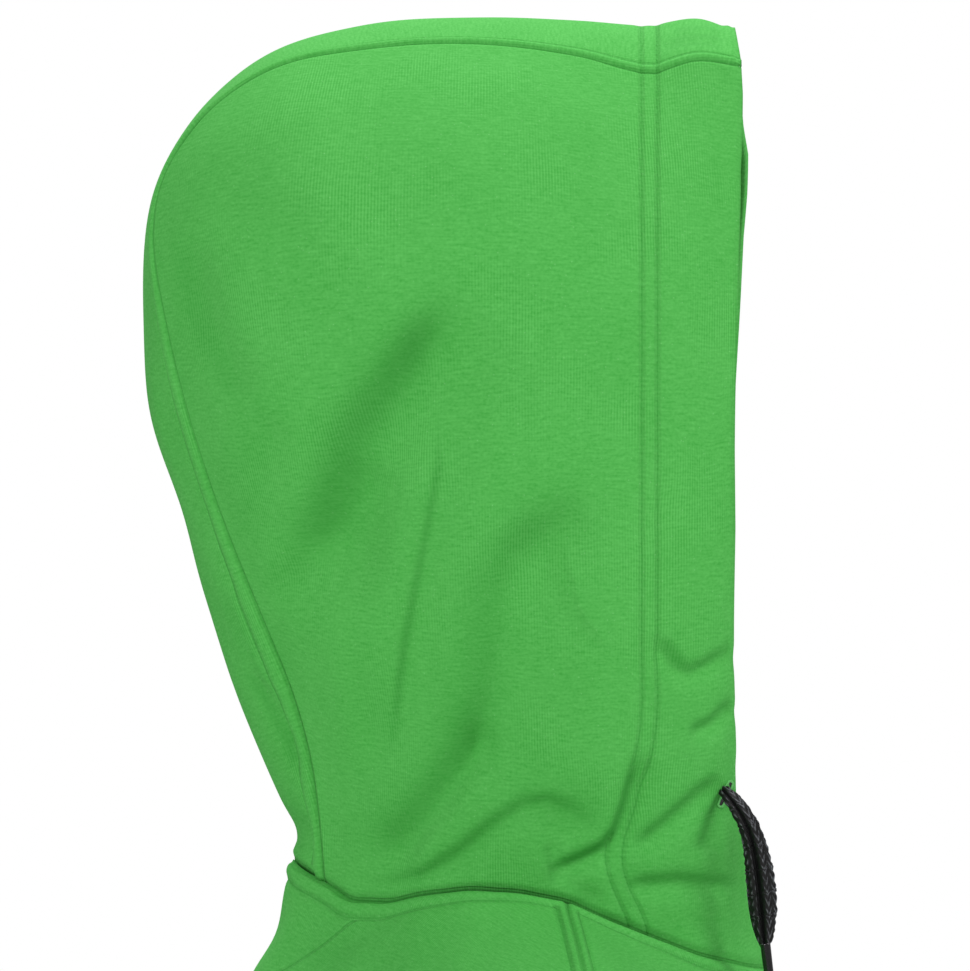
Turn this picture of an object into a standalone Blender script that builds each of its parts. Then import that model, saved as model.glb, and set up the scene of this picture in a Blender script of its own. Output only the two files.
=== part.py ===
"""Zip-up hoodie with a raised three-piece hood, hollow and filled out as if worn.

Metres, +Z up, the front to -Y, the wearer's right to -X. The origin is between the two high shoulder
points. Each cut piece is a wall worked out from its outer surface and that surface's normals; pieces
that are sewn together share the points and normals of their seam line, and each stays a little short
of it. Only the wearer's left half (+X) is worked out, and the right is its mirror image.
"""

import math

import bmesh
import bpy
import numpy as np
from mathutils import Matrix, Vector

MM = 0.001

# Cloth and seams
CLOTH = 1.8 * MM  # wall of the fleece
CASING_CLOTH = 3.6 * MM  # wall of the hood's front hem, which is two layers
RIB_CLOTH = 2.2 * MM  # wall of the rib knit, to the foot of its ribs
SEAM_EASE = 0.2 * MM  # each piece ends this far from its seam line
LAYER_GAP = 0.3 * MM  # between two layers that lie on each other
FACET_ROOM = 0.32 * MM  # how far the fronts' flat facets can stand from their true curve
CENTRE_GAP = 6.5 * MM  # from the centre front to the fronts' edges, beside the zip

# Body
BODY_ROUND = 2.4  # power of the body's rounded section
BODY_MID_Y = 5.0 * MM  # where the side seams run
HEM_SEAM_Z = -600.0 * MM
HEM_END_Z = -665.0 * MM
HEM_LEVELS = (-600.4 * MM, -614.0 * MM, HEM_END_Z)
UNDERARM_Z = -235.0 * MM
CHEST_Z = -88.0 * MM  # where the centre lines meet the row of the shoulder tips

# Hood
CROWN_ROUND = 94.0 * MM  # from the centre strip's seam to the hood's full width
CROWN_POWER = 0.8
FACE_ROUND = 120.0 * MM  # from the face edge to the hood's full width
STRIP_HALF = 45.0 * MM  # half the centre strip's width, above the nape
NAPE_HEIGHT = 160.0 * MM  # height over which the strip narrows towards the neck
NAPE_Y = 60.0 * MM  # behind this, the strip's seam is that of the nape
BROW_Z = 300.0 * MM  # above this, the face edge is as wide as the strip

# Numbers of steps along the seams
NECK_STEPS_CENTRE = 2  # half the centre strip
NECK_STEPS_BACK = 6  # centre strip to shoulder seam
NECK_STEPS_FRONT = 2  # shoulder seam to casing
NECK_STEPS_CASING = 3
SHOULDER_STEPS = 5
SIDE_STEPS = 5
ARMHOLE_STEPS = 8
HOOD_ROWS = 20
HOOD_SPLIT = 2  # the hood side has this many columns for each step of the neck seam

# Ribs
HEM_RIBS = 104
CUFF_RIBS = 28
RIB_HEIGHT = 0.9 * MM
CUFF_LENGTH = 65.0 * MM

# Zip
TAPE_INNER = 2.9 * MM
TAPE_OUTER = 16.5 * MM
TAPE_CLOTH = 1.0 * MM
CHAIN_HALF = 2.6 * MM
CHAIN_THICK = 2.4 * MM
SLIDER_Z = -44.0 * MM
SLIDER_LENGTH = 11.0 * MM
SLIDER_HALF = 4.3 * MM
SLIDER_PLATE = 1.3 * MM
BRIDGE_LENGTH = 3.0 * MM
BRIDGE_HALF = 1.6 * MM
BAIL_HALF = 0.8 * MM
BAIL_ROOM = 2.0 * MM
BAIL_THICK = 1.0 * MM
BAIL_LENGTH = 7.4 * MM
PULL_HALF = 3.2 * MM
PULL_LENGTH = 24.0 * MM
PULL_THICK = 1.2 * MM
PULL_EYE = 5.8 * MM
OVERLAP = 0.1 * MM  # by which the blocks of one casting run into each other
BOX_LENGTH = 9.0 * MM
BOX_HALF = 4.6 * MM
BOX_THICK = 4.4 * MM
TAPE_TOP_SHARE = 0.985  # how far up the last body row the tapes end
HEM_BESIDE = 25.0 * MM  # a second point of the hem, this far from its edge, gives its direction

# Drawstring
CORD_RADIUS = 2.6 * MM
TIP_RADIUS = 1.9 * MM
TIP_LENGTH = 24.0 * MM

# Pocket
POCKET_IN_X = 19.0 * MM
POCKET_OUT_X = 178.0 * MM
POCKET_TOP_OUT_X = 104.0 * MM
POCKET_TOP_Z = -405.0 * MM
POCKET_CORNER_Z = -540.0 * MM
POCKET_LIFT = 3.0 * MM  # how far the hand opening stands off the front


def table(columns, *rows):
    """A dict of named columns, in metres, from rows in millimetres."""
    values = np.array(rows, float) * MM
    return {name: values[:, index] for index, name in enumerate(columns.split())}


# The centre strip: its seam with the side panel, its middle line, and half its width, from nape to brow.
CENTRE_STRIP = table(
    "seam_y seam_z mid_y mid_z half_width",
    (81.6, 8.8, 94.4, 17.2, 34.0),
    (84.0, 36.0, 97.2, 36.5, 37.0),
    (86.5, 55.0, 103.0, 51.2, 39.0),
    (94.8, 86.0, 116.4, 82.5, 41.0),
    (106.0, 113.6, 126.8, 108.4, 43.0),
    (123.2, 156.8, 136.8, 153.0, 44.0),
    (138.8, 206.4, 151.0, 203.0, 45.0),
    (146.5, 241.2, 153.6, 239.6, 45.0),
    (149.8, 262.0, 153.2, 263.0, 45.0),
    (147.0, 286.0, 148.6, 287.0, 45.0),
    (133.6, 310.0, 135.0, 312.0, 45.0),
    (104.0, 332.8, 106.0, 338.4, 45.0),
    (62.0, 342.0, 63.6, 351.6, 45.0),
    (19.6, 343.8, 19.6, 354.4, 45.0),
    (-25.6, 337.8, -25.6, 352.8, 45.0),
    (-48.4, 332.0, -48.4, 351.2, 45.0),
    (-66.8, 335.6, -66.0, 352.6, 45.0),
    (-85.2, 332.8, -82.6, 349.2, 45.0),
)
CROWN_ROW = 10  # where the side panel's back edge becomes its top edge
CASING_ROW = 15  # where the casing's stitching crosses the strip

# The neck seam, from the centre back round to the centre front.
NECK = table(
    "x y z",
    (0.0, 94.4, 17.2),
    (18.0, 91.6, 14.0),
    (34.0, 81.6, 8.8),
    (49.0, 70.0, 2.0),
    (61.0, 57.0, 1.4),
    (73.5, 41.0, 4.6),
    (81.5, 22.0, 6.6),
    (86.0, 2.0, 5.2),
    (86.6, -15.6, 1.6),
    (83.4, -32.0, -5.6),
    (76.6, -45.2, -10.8),
    (63.0, -65.0, -18.6),
    (43.0, -82.6, -23.4),
    (23.0, -93.0, -25.4),
    (6.5, -97.2, -26.0),
)
NECK_STRIP_ROW = 2
NECK_SHOULDER_ROW = 8
NECK_CASING_ROW = 10

# The face edge and the casing's stitching line, from the neck seam up.
FACE_EDGE = table(
    "x y z",
    (6.5, -97.2, -26.0),
    (15.0, -92.0, -16.0),
    (27.0, -87.0, 0.0),
    (41.0, -85.2, 20.0),
    (55.0, -84.4, 47.0),
    (73.0, -82.6, 100.0),
    (82.0, -83.0, 150.0),
    (85.0, -83.8, 200.0),
    (83.0, -85.8, 250.0),
    (71.0, -87.0, 300.0),
    (59.0, -85.9, 321.0),
    (45.0, -85.2, 332.8),
)
CASING_LINE = table(
    "y z",
    (-45.2, -10.8),
    (-40.4, -2.4),
    (-35.6, 9.0),
    (-36.4, 24.0),
    (-42.0, 49.0),
    (-46.6, 80.0),
    (-48.6, 112.0),
    (-48.4, 173.0),
    (-48.4, 250.0),
    (-48.4, 332.0),
)
HOOD_WIDTH = table(
    "z half_width",
    (-30.0, 87.0),
    (20.0, 96.0),
    (60.0, 104.0),
    (110.0, 111.0),
    (170.0, 114.0),
    (230.0, 114.0),
    (290.0, 109.0),
    (360.0, 97.0),
)

# Folds of the hood's sides: a bowed line from start to end, its half width, and its depth inwards.
HOOD_FOLDS = table(
    "start_y start_z end_y end_z bow half_width depth",
    (16.0, 246.0, 108.0, 124.0, 7.0, 17.0, 5.0),
    (28.0, 214.0, 72.0, 20.0, -6.0, 8.0, 2.4),
    (-16.0, 166.0, 56.0, 24.0, 12.0, 13.0, 3.6),
    (62.0, 10.0, -24.0, 38.0, 7.0, 8.0, 2.8),
    (-2.0, 22.0, -38.0, 30.0, -7.0, 7.0, 3.2),
    (137.0, 262.0, 128.0, 190.0, 3.0, 9.0, 2.6),
    (6.0, 150.0, 26.0, 66.0, 4.0, 11.0, -2.6),
    (58.0, 150.0, 84.0, 60.0, -2.0, 13.0, -2.4),
)

# The body's sections, from above the shoulders down to the hem's end.
BODY = table(
    "z half_width front back",
    (40.0, 236.0, 117.0, 120.0),
    (-30.0, 236.0, 122.0, 128.0),
    (-120.0, 236.0, 129.0, 135.0),
    (-235.0, 235.0, 130.0, 131.0),
    (-350.0, 231.0, 126.0, 121.0),
    (-450.0, 233.0, 124.0, 118.0),
    (-540.0, 240.0, 127.0, 123.0),
    (-582.0, 241.0, 127.0, 124.0),
    (-600.0, 233.0, 119.0, 117.0),
    (-614.0, 230.0, 116.0, 114.0),
    (-680.0, 227.0, 114.0, 112.0),
)
SHOULDER = table(
    "x y z",
    (86.6, -15.6, 1.6),
    (130.0, -19.6, -13.0),
    (175.0, -23.6, -31.0),
    (218.0, -26.0, -53.0),
)
# How the top edge rounds over into the body, across from the centre: the height and the curve's power.
TOP_ROUND = table(
    "x height power",
    (0.0, 185.0, 1.0),
    (34.0, 165.0, 0.85),
    (49.0, 150.0, 0.72),
    (61.0, 140.0, 0.66),
    (73.0, 130.0, 0.63),
    (86.0, 120.0, 0.60),
    (110.0, 110.0, 0.55),
    (130.0, 100.0, 0.50),
    (240.0, 100.0, 0.50),
)
ARMHOLE = table(
    "x z",
    (235.0, -235.0),
    (229.0, -222.0),
    (215.0, -205.0),
    (204.0, -182.0),
    (199.0, -150.0),
    (202.0, -115.0),
    (209.0, -80.0),
    (218.0, -53.0),
)

# The sleeve's rings: inner and outer point in the front view, the middle's y, half the ring's size
# front to back, and how much of the armhole's own line the ring keeps.
SLEEVE = table(
    "in_x in_z out_x out_z mid_y half_depth",
    (246.0, -239.0, 246.0, -64.0, 0.0, 78.0),
    (250.0, -245.5, 276.0, -86.0, 2.0, 77.0),
    (252.5, -253.0, 307.0, -119.0, 3.0, 75.0),
    (258.0, -266.0, 335.0, -158.0, 4.0, 72.0),
    (266.0, -286.0, 360.0, -202.0, 5.0, 69.0),
    (276.5, -312.0, 386.0, -256.0, 6.0, 66.0),
    (293.0, -354.0, 407.0, -308.0, 6.0, 63.5),
    (312.0, -400.0, 422.0, -358.0, 3.0, 61.0),
    (330.0, -446.0, 434.0, -410.0, -7.0, 57.0),
    (347.0, -496.0, 445.0, -466.0, -23.0, 53.0),
    (360.0, -541.0, 452.0, -516.0, -41.0, 49.0),
    (371.0, -582.0, 456.0, -560.0, -57.0, 45.0),
    (387.0, -603.0, 451.0, -587.0, -66.0, 34.0),
)
ARMHOLE_SHARE = (0.82, 0.56, 0.30, 0.12, 0.03)
CUFF_TURN = (0.20, -0.31, -0.93)  # the way the cuff points

# The drawstring's route on the wearer's right, from its buttonhole down.
CORD_ROUTE = table(
    "x y z",
    (-65.6, -80.6, 43.4),
    (-66.4, -84.0, 39.4),
    (-66.0, -87.6, 32.5),
    (-63.4, -90.4, 24.0),
    (-60.4, -92.2, 14.5),
    (-57.6, -93.4, 5.0),
    (-55.2, -94.2, -4.0),
    (-53.2, -94.8, -15.6),
)
CORD_END_TURN = (0.08, -0.12, -0.99)  # the way the tip points

GREEN = (0.075, 0.445, 0.072)
DARK_GREEN = (0.060, 0.385, 0.058)
BLACK = (0.012, 0.012, 0.013)
NICKEL = (0.55, 0.55, 0.56)


# ---------------------------------------------------------------- curves and surfaces


def follow(knots, values, at):
    """Values of a smooth curve through the given ones, at places between the knots."""
    values = np.asarray(values, float)
    slopes = np.gradient(values, knots, axis=0)
    at = np.clip(at, knots[0], knots[-1])
    left = np.clip(np.searchsorted(knots, at, side="right") - 1, 0, len(knots) - 2)
    step = knots[left + 1] - knots[left]
    t = (at - knots[left]) / step
    if values.ndim > 1:
        t = t[..., None]
        step = step[..., None]
    rise = values[left + 1] - values[left]
    start = values[left] + t * t * (3 - 2 * t) * rise
    return start + step * t * (1 - t) * ((1 - t) * slopes[left] - t * slopes[left + 1])


def lengths(points):
    """How far along a line of points each one is."""
    steps = np.linalg.norm(np.diff(points, axis=0), axis=1)
    return np.concatenate([[0.0], np.cumsum(steps)])


def columns(rows, names):
    return np.stack([rows[name] for name in names.split()], axis=1)


def profile(rows, key, name, at):
    """A column of a table, read as a smooth function of its key column."""
    order = np.argsort(rows[key])
    return follow(rows[key][order], rows[name][order], np.asarray(at, float))


def stretch(points, first, last, steps):
    """Equal steps along the smooth curve through all points, between two of its rows."""
    knots = lengths(points)
    return follow(knots, points, np.linspace(knots[first], knots[last], steps + 1))


def coons(bottom, top, left, right, up=None):
    """A grid [row, column] filled in between four edges that share their corners."""
    across = np.linspace(0, 1, len(bottom))[None, :, None]
    up = np.linspace(0, 1, len(left)) if up is None else up
    up = up[:, None, None]
    ruled_up = (1 - up) * bottom[None] + up * top[None]
    ruled_across = (1 - across) * left[:, None] + across * right[:, None]
    corners_low = (1 - across) * bottom[0] + across * bottom[-1]
    corners_high = (1 - across) * top[0] + across * top[-1]
    return ruled_up + ruled_across - (1 - up) * corners_low - up * corners_high


def relaxed(grid, rounds=400):
    """The grid with its inner points evened out between the fixed edges, so that no cell folds over."""
    grid = grid.copy()
    for _ in range(rounds):
        across = grid[1:-1, :-2] + grid[1:-1, 2:]
        up = grid[:-2, 1:-1] + grid[2:, 1:-1]
        grid[1:-1, 1:-1] = (across + up) / 4
    return grid


def roll(share, power):
    """Rises from 0 to 1 with a rounded shoulder, as share goes from 0 to 1."""
    share = np.clip(share, 0, 1)
    return (1 - (1 - share) ** 2) ** power


def blend(low, high, share):
    share = np.clip(share, 0, 1)
    share = share * share * (3 - 2 * share)
    return low + (high - low) * share


def fold_depth(folds, y, z):
    """How far the folds press a hood side inwards at each point of its side view."""
    total = np.zeros_like(y)
    for start_y, start_z, end_y, end_z, bow, half_width, depth in zip(*folds.values()):
        run = math.hypot(end_y - start_y, end_z - start_z)
        way_y = (end_y - start_y) / run
        way_z = (end_z - start_z) / run
        along = ((y - start_y) * way_y + (z - start_z) * way_z) / run
        inside = np.clip(along, 0, 1)
        aside = (z - start_z) * way_y - (y - start_y) * way_z - 4 * bow * inside * (1 - inside)
        ends = np.maximum(np.abs(along - 0.5) - 0.5, 0) * run / half_width
        fade = np.sin(np.pi * np.clip(along, 0.04, 0.96)) ** 0.6
        total += depth * fade * np.exp(-((aside / half_width) ** 2) - ends**2)
    return total


def normals_of(grid, wrap=False):
    """Unit normals of a grid of points, on the side where columns x rows point."""
    if wrap:
        along = np.roll(grid, -1, axis=1) - np.roll(grid, 1, axis=1)
    else:
        along = np.gradient(grid, axis=1)
    up = np.gradient(grid, axis=0)
    cross = np.cross(along, up)
    return cross / np.linalg.norm(cross, axis=2, keepdims=True)


# ---------------------------------------------------------------- the cut pieces' outer surfaces


def neck_points():
    """The neck seam's points, centre back to centre front, in equal steps between its named rows."""
    points = columns(NECK, "x y z")
    last = len(points) - 1
    runs = (
        (0, NECK_STRIP_ROW, NECK_STEPS_CENTRE),
        (NECK_STRIP_ROW, NECK_SHOULDER_ROW, NECK_STEPS_BACK),
        (NECK_SHOULDER_ROW, NECK_CASING_ROW, NECK_STEPS_FRONT),
        (NECK_CASING_ROW, last, NECK_STEPS_CASING),
    )
    parts = [stretch(points, *run)[:-1] for run in runs]
    return np.concatenate(parts + [points[-1:]])


def strip_points(steps_back, steps_top, steps_casing):
    """Rows of seam point, middle point and half width along the centre strip, nape to brow."""
    rows = columns(CENTRE_STRIP, "seam_y seam_z mid_y mid_z half_width")
    knots = lengths(rows[:, :2])
    runs = (
        np.linspace(0, knots[CROWN_ROW], steps_back + 1)[:-1],
        np.linspace(knots[CROWN_ROW], knots[CASING_ROW], steps_top + 1)[:-1],
        np.linspace(knots[CASING_ROW], knots[-1], steps_casing + 1),
    )
    return follow(knots, rows, np.concatenate(runs))


def hood_side_grid(neck):
    """The left hood side: rows neck to top, columns from the centre strip to the face edge."""
    split = HOOD_SPLIT * (NECK_STEPS_BACK + NECK_STEPS_FRONT)
    strip = strip_points(HOOD_ROWS, split, HOOD_SPLIT * NECK_STEPS_CASING)
    seam = strip[:, :2]
    first = NECK_STEPS_CENTRE
    casing_column = first + NECK_STEPS_BACK + NECK_STEPS_FRONT
    neck_main = neck[first : casing_column + 1]
    neck_main = halved(neck_main, HOOD_SPLIT)
    line = columns(CASING_LINE, "y z")
    line = stretch(line, 0, len(line) - 1, HOOD_ROWS)
    face = columns(FACE_EDGE, "y z x")
    face = stretch(face, 0, len(face) - 1, HOOD_ROWS)[:, :2]
    top = seam[HOOD_ROWS : HOOD_ROWS + split + 1]
    casing_top = seam[HOOD_ROWS + split :]
    neck_casing = halved(neck[casing_column:], HOOD_SPLIT)
    main = relaxed(coons(neck_main[:, 1:], top, seam[: HOOD_ROWS + 1], line))
    casing = coons(neck_casing[:, 1:], casing_top, line, face)
    view = np.concatenate([main, casing[:, 1:]], axis=1)
    x = hood_half_width(view[..., 0], view[..., 1], seam)
    neck_x = np.concatenate([neck_main[:, 0], neck_casing[1:, 0]])
    up = np.linspace(0, 1, HOOD_ROWS + 1)[:, None]
    x += (neck_x - x[0])[None] * (1 - up) ** 3
    edges = np.minimum(1, np.minimum(up, 1 - up) * 6)
    x -= fold_depth(HOOD_FOLDS, view[..., 0], view[..., 1]) * edges
    x[: HOOD_ROWS + 1, 0] = strip[: HOOD_ROWS + 1, 4]
    x[-1] = strip[HOOD_ROWS:, 4]
    return np.stack([x, view[..., 0], view[..., 1]], axis=2)


def hood_half_width(y, z, seam):
    """The hood's half width over its side view, before folds."""
    knots = lengths(seam)
    fine = follow(knots, seam, np.linspace(0, knots[-1], 240))
    away = np.hypot(y[..., None] - fine[:, 0], z[..., None] - fine[:, 1]).min(axis=2)
    full = profile(HOOD_WIDTH, "z", "half_width", z)
    edge_x = profile(FACE_EDGE, "z", "x", z)
    edge_y = profile(FACE_EDGE, "z", "y", z)
    near_face = np.clip(1 - (y - edge_y) / FACE_ROUND, 0, 1)
    least = np.where(z > BROW_Z, STRIP_HALF, 0.0)
    full = full - (full - np.maximum(edge_x, least)) * near_face**2
    nape = blend(CENTRE_STRIP["half_width"][0], STRIP_HALF, z / NAPE_HEIGHT)
    seam_x = np.where(y > NAPE_Y, nape, STRIP_HALF)
    return seam_x + (full - seam_x) * roll(away / CROWN_ROUND, CROWN_POWER)


def hood_centre_grid():
    """The centre strip: rows nape to brow, columns from the left seam to the right one."""
    split = HOOD_SPLIT * (NECK_STEPS_BACK + NECK_STEPS_FRONT)
    strip = strip_points(HOOD_ROWS, split, HOOD_SPLIT * NECK_STEPS_CASING)
    across = np.linspace(-1, 1, 2 * NECK_STEPS_CENTRE + 1)[None, :, None]
    seam = strip[:, None, :2]
    middle = strip[:, None, 2:4]
    view = middle + (seam - middle) * across**2
    x = across[..., 0] * strip[:, None, 4]
    return np.concatenate([x[..., None], view], axis=2)


def body_angle(x, z):
    """The angle round the body's section of a point x from the middle."""
    share = np.clip(np.asarray(x) / profile(BODY, "z", "half_width", z), 0, 1)
    return np.arcsin(share ** (BODY_ROUND / 2))


def top_edge(side, x):
    """The y and z of a front's or back's top edge, its neckline and shoulder seam, at points x."""
    neck = columns(NECK, "x y z")
    neck = neck[: NECK_SHOULDER_ROW + 1] if side == "back" else neck[NECK_SHOULDER_ROW:][::-1]
    edge = np.concatenate([neck, columns(SHOULDER, "x y z")[1:]])
    fine = stretch(edge, 0, len(edge) - 1, 400)
    return np.interp(x, fine[:, 0], fine[:, 1]), np.interp(x, fine[:, 0], fine[:, 2])


def body_depth(side, x, z):
    """The y of a front's or back's outer surface over its front view."""
    away = -1 if side == "front" else 1
    share = np.clip(x / profile(BODY, "z", "half_width", z), 0, 1)
    deep = BODY_MID_Y + away * profile(BODY, "z", side, z) * (1 - share**BODY_ROUND) ** (1 / BODY_ROUND)
    top_y, top_z = top_edge(side, x)
    height = profile(TOP_ROUND, "x", "height", x)
    power = profile(TOP_ROUND, "x", "power", x) / MM
    return top_y + (deep - top_y) * roll((top_z - z) / height, power)


def body_grid(side, neckline, centre_x):
    """Half of a front or back: rows hem seam to neckline, columns centre to side.

    side is the column of the body's section that gives the depth, front or back. The outer edge runs
    from the neckline along the shoulder seam, down the armhole and down the side seam.
    """
    shoulder = shoulder_points()
    armhole = armhole_line(side)
    side_z = np.linspace(UNDERARM_Z, HEM_SEAM_Z, SIDE_STEPS + 1)
    side_x = profile(BODY, "z", "half_width", side_z)
    outer = np.concatenate([shoulder[:, [0, 2]], armhole[1:], np.stack([side_x, side_z], axis=1)[1:]])
    centre_z = np.concatenate(
        [
            np.linspace(neckline[0, 2], CHEST_Z, SHOULDER_STEPS + 1)[:-1],
            np.linspace(CHEST_Z, UNDERARM_Z, ARMHOLE_STEPS + 1)[:-1],
            side_z,
        ]
    )
    centre = np.stack([np.full_like(centre_z, centre_x), centre_z], axis=1)
    count = len(neckline)
    hem_angle = np.linspace(float(body_angle(centre_x, HEM_SEAM_Z)), math.pi / 2, count)
    hem_x = side_x[-1] * np.sin(hem_angle) ** (2 / BODY_ROUND)
    hem = np.stack([hem_x, np.full(count, HEM_SEAM_Z)], axis=1)
    edges = [with_angle_and_depth(side, edge) for edge in (neckline[:, [0, 2]], hem, centre, outer)]
    edges[0][:, 2] = neckline[:, 1]
    edges[3][: SHOULDER_STEPS + 1, 2] = shoulder[:, 1]
    shares = (centre_z - centre_z[0]) / (centre_z[-1] - centre_z[0])
    view = coons(*edges, shares)
    z = view[..., 1]
    angle = np.clip(view[..., 0], 0, math.pi / 2)
    x = profile(BODY, "z", "half_width", z) * np.sin(angle) ** (2 / BODY_ROUND)
    row = np.arange(len(centre_z))[:, None]
    full = blend(0.0, 1.0, row / (SHOULDER_STEPS + 3))
    y = view[..., 2] + (body_depth(side, x, z) - view[..., 2]) * full
    y[: SHOULDER_STEPS + 1, -1] = shoulder[:, 1]
    return np.stack([x, y, z], axis=2)[::-1]


def with_angle_and_depth(side, edge):
    """An edge given as x and z, as its angle round the body, z and y."""
    x, z = edge.T
    return np.stack([body_angle(x, z), z, body_depth(side, x, z)], axis=1)


def armhole_line(side):
    """The armhole from shoulder to underarm as x and z, in steps that are equal on the body."""
    line = columns(ARMHOLE, "x z")[::-1]
    fine = stretch(line, 0, len(line) - 1, 200)
    solid = np.stack([fine[:, 0], body_depth(side, fine[:, 0], fine[:, 1]), fine[:, 1]], axis=1)
    knots = lengths(solid)
    return follow(knots, fine, np.linspace(0, knots[-1], ARMHOLE_STEPS + 1))


def halved(points, steps):
    """The points with the middle of each step between them added."""
    places = np.arange((len(points) - 1) * steps + 1) / steps
    low = np.floor(places).astype(int)
    high = np.minimum(low + 1, len(points) - 1)
    return points[low] + (points[high] - points[low]) * (places - low)[:, None]


def shoulder_points():
    points = columns(SHOULDER, "x y z")
    return stretch(points, 0, len(points) - 1, SHOULDER_STEPS)


def sleeve_grid(front, back):
    """The right sleeve: rows armhole to cuff, columns round from the shoulder by the front."""
    armhole = slice(SIDE_STEPS, SIDE_STEPS + ARMHOLE_STEPS + 1)
    down_front = front[armhole, -1][::-1]
    up_back = back[armhole, -1]
    armhole = np.concatenate([down_front[:-1], up_back[:-1]])
    count = len(armhole)
    turn = np.linspace(0, 2 * math.pi, count + 1)[:-1]
    centres, outward, forward, sizes = sleeve_frames()
    rings = [armhole]
    for index, centre in enumerate(centres):
        round_ = np.cos(turn)[:, None] * outward[index] * sizes[index, 0]
        round_ = round_ + np.sin(turn)[:, None] * forward[index] * sizes[index, 1]
        ring = centre + round_
        share = ARMHOLE_SHARE[index] if index < len(ARMHOLE_SHARE) else 0.0
        shifted = armhole - armhole.mean(axis=0) + ring.mean(axis=0)
        rings.append(blend_rings(ring, shifted, share, turn))
    return np.stack(rings)


def blend_rings(ring, armhole, share, turn):
    """A ring that keeps a share of the armhole's line, except at its top and bottom."""
    hold = share * np.sin(turn)[:, None] ** 2
    return ring * (1 - hold) + armhole * hold


def sleeve_frames():
    """Each ring's centre, its directions towards the outside and the front, and its two half sizes."""
    inner = columns(SLEEVE, "in_x mid_y in_z")
    outer = columns(SLEEVE, "out_x mid_y out_z")
    centres = (inner + outer) / 2
    outward = (outer - inner) / np.linalg.norm(outer - inner, axis=1, keepdims=True)
    axis = np.gradient(centres, axis=0)
    axis /= np.linalg.norm(axis, axis=1, keepdims=True)
    lean = blend(0.0, 1.0, (np.arange(len(centres)) - 4) / 4)[:, None]
    ahead = np.array([0.0, -1.0, 0.0])
    forward = ahead - axis * (axis @ ahead)[:, None] * lean
    forward /= np.linalg.norm(forward, axis=1, keepdims=True)
    half = np.linalg.norm(outer - inner, axis=1) / 2
    return centres, outward, forward, np.stack([half, SLEEVE["half_depth"]], axis=1)


# ---------------------------------------------------------------- walls

SEWN_EDGES = {"first_row", "last_row", "first_column", "last_column"}
FACE_EDGES = {"hood_side_left": "last_column", "hood_side_right": "last_column", "hood_centre": "last_row"}


class Sheet:
    """One cut piece's outer surface: a grid of points and their normals."""

    def __init__(self, name, grid, wrap=False, flip=False):
        self.name = name
        self.grid = grid
        self.wrap = wrap
        self.normals = normals_of(grid, wrap) * (-1 if flip else 1)
        self.thickness = np.full(grid.shape[:2], CLOTH)

    def edge_points(self):
        """Indexes of the grid's border."""
        mask = np.zeros(self.grid.shape[:2], bool)
        mask[[0, -1]] = True
        if not self.wrap:
            mask[:, [0, -1]] = True
        return mask

    def mirrored(self, name):
        other = object.__new__(Sheet)
        other.name = name
        other.wrap = self.wrap
        flip = np.array([-1.0, 1.0, 1.0])
        other.grid = self.grid * flip
        other.normals = self.normals * flip
        other.thickness = self.thickness
        return other


def share_seam_normals(sheets):
    """Gives the sheets that meet at a point the same normal there, so that their walls end side by side."""
    sums = {}
    for sheet in sheets:
        for row, column in np.argwhere(sheet.edge_points()):
            key = tuple(np.round(sheet.grid[row, column] / (0.01 * MM)).astype(int))
            sums.setdefault(key, []).append((sheet, row, column))
    for meeting in sums.values():
        total = sum(sheet.normals[row, column] for sheet, row, column in meeting)
        size = np.linalg.norm(total)
        for sheet, row, column in meeting:
            if size > 0.2:
                sheet.normals[row, column] = total / size


def smooth_halfway(sheet, row, between):
    """Gives a neck edge's in-between points the mean of their neighbours' normals."""
    for column in between:
        sheet.normals[row, column] = (sheet.normals[row, column - 1] + sheet.normals[row, column + 1]) / 2


def pull_in(points, beside, normals):
    """Moves an edge's points in from the seam by its ease, square to the seam and to its normals."""
    along = np.gradient(points, axis=0)
    inwards = np.cross(along, normals)
    inwards /= np.linalg.norm(inwards, axis=1, keepdims=True)
    if ((beside - points) * inwards).sum() < 0:
        inwards = -inwards
    return points + inwards * SEAM_EASE


def eased(sheet, sides):
    """The sheet's grid with its sewn edges drawn in."""
    grid = sheet.grid
    normals = sheet.normals
    out = grid.copy()
    if "first_row" in sides:
        out[0] += pull_in(grid[0], grid[1], normals[0]) - grid[0]
    if "last_row" in sides:
        out[-1] += pull_in(grid[-1], grid[-2], normals[-1]) - grid[-1]
    if sheet.wrap:
        return out
    if "first_column" in sides:
        out[:, 0] += pull_in(grid[:, 0], grid[:, 1], normals[:, 0]) - grid[:, 0]
    if "last_column" in sides:
        out[:, -1] += pull_in(grid[:, -1], grid[:, -2], normals[:, -1]) - grid[:, -1]
    return out


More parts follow.
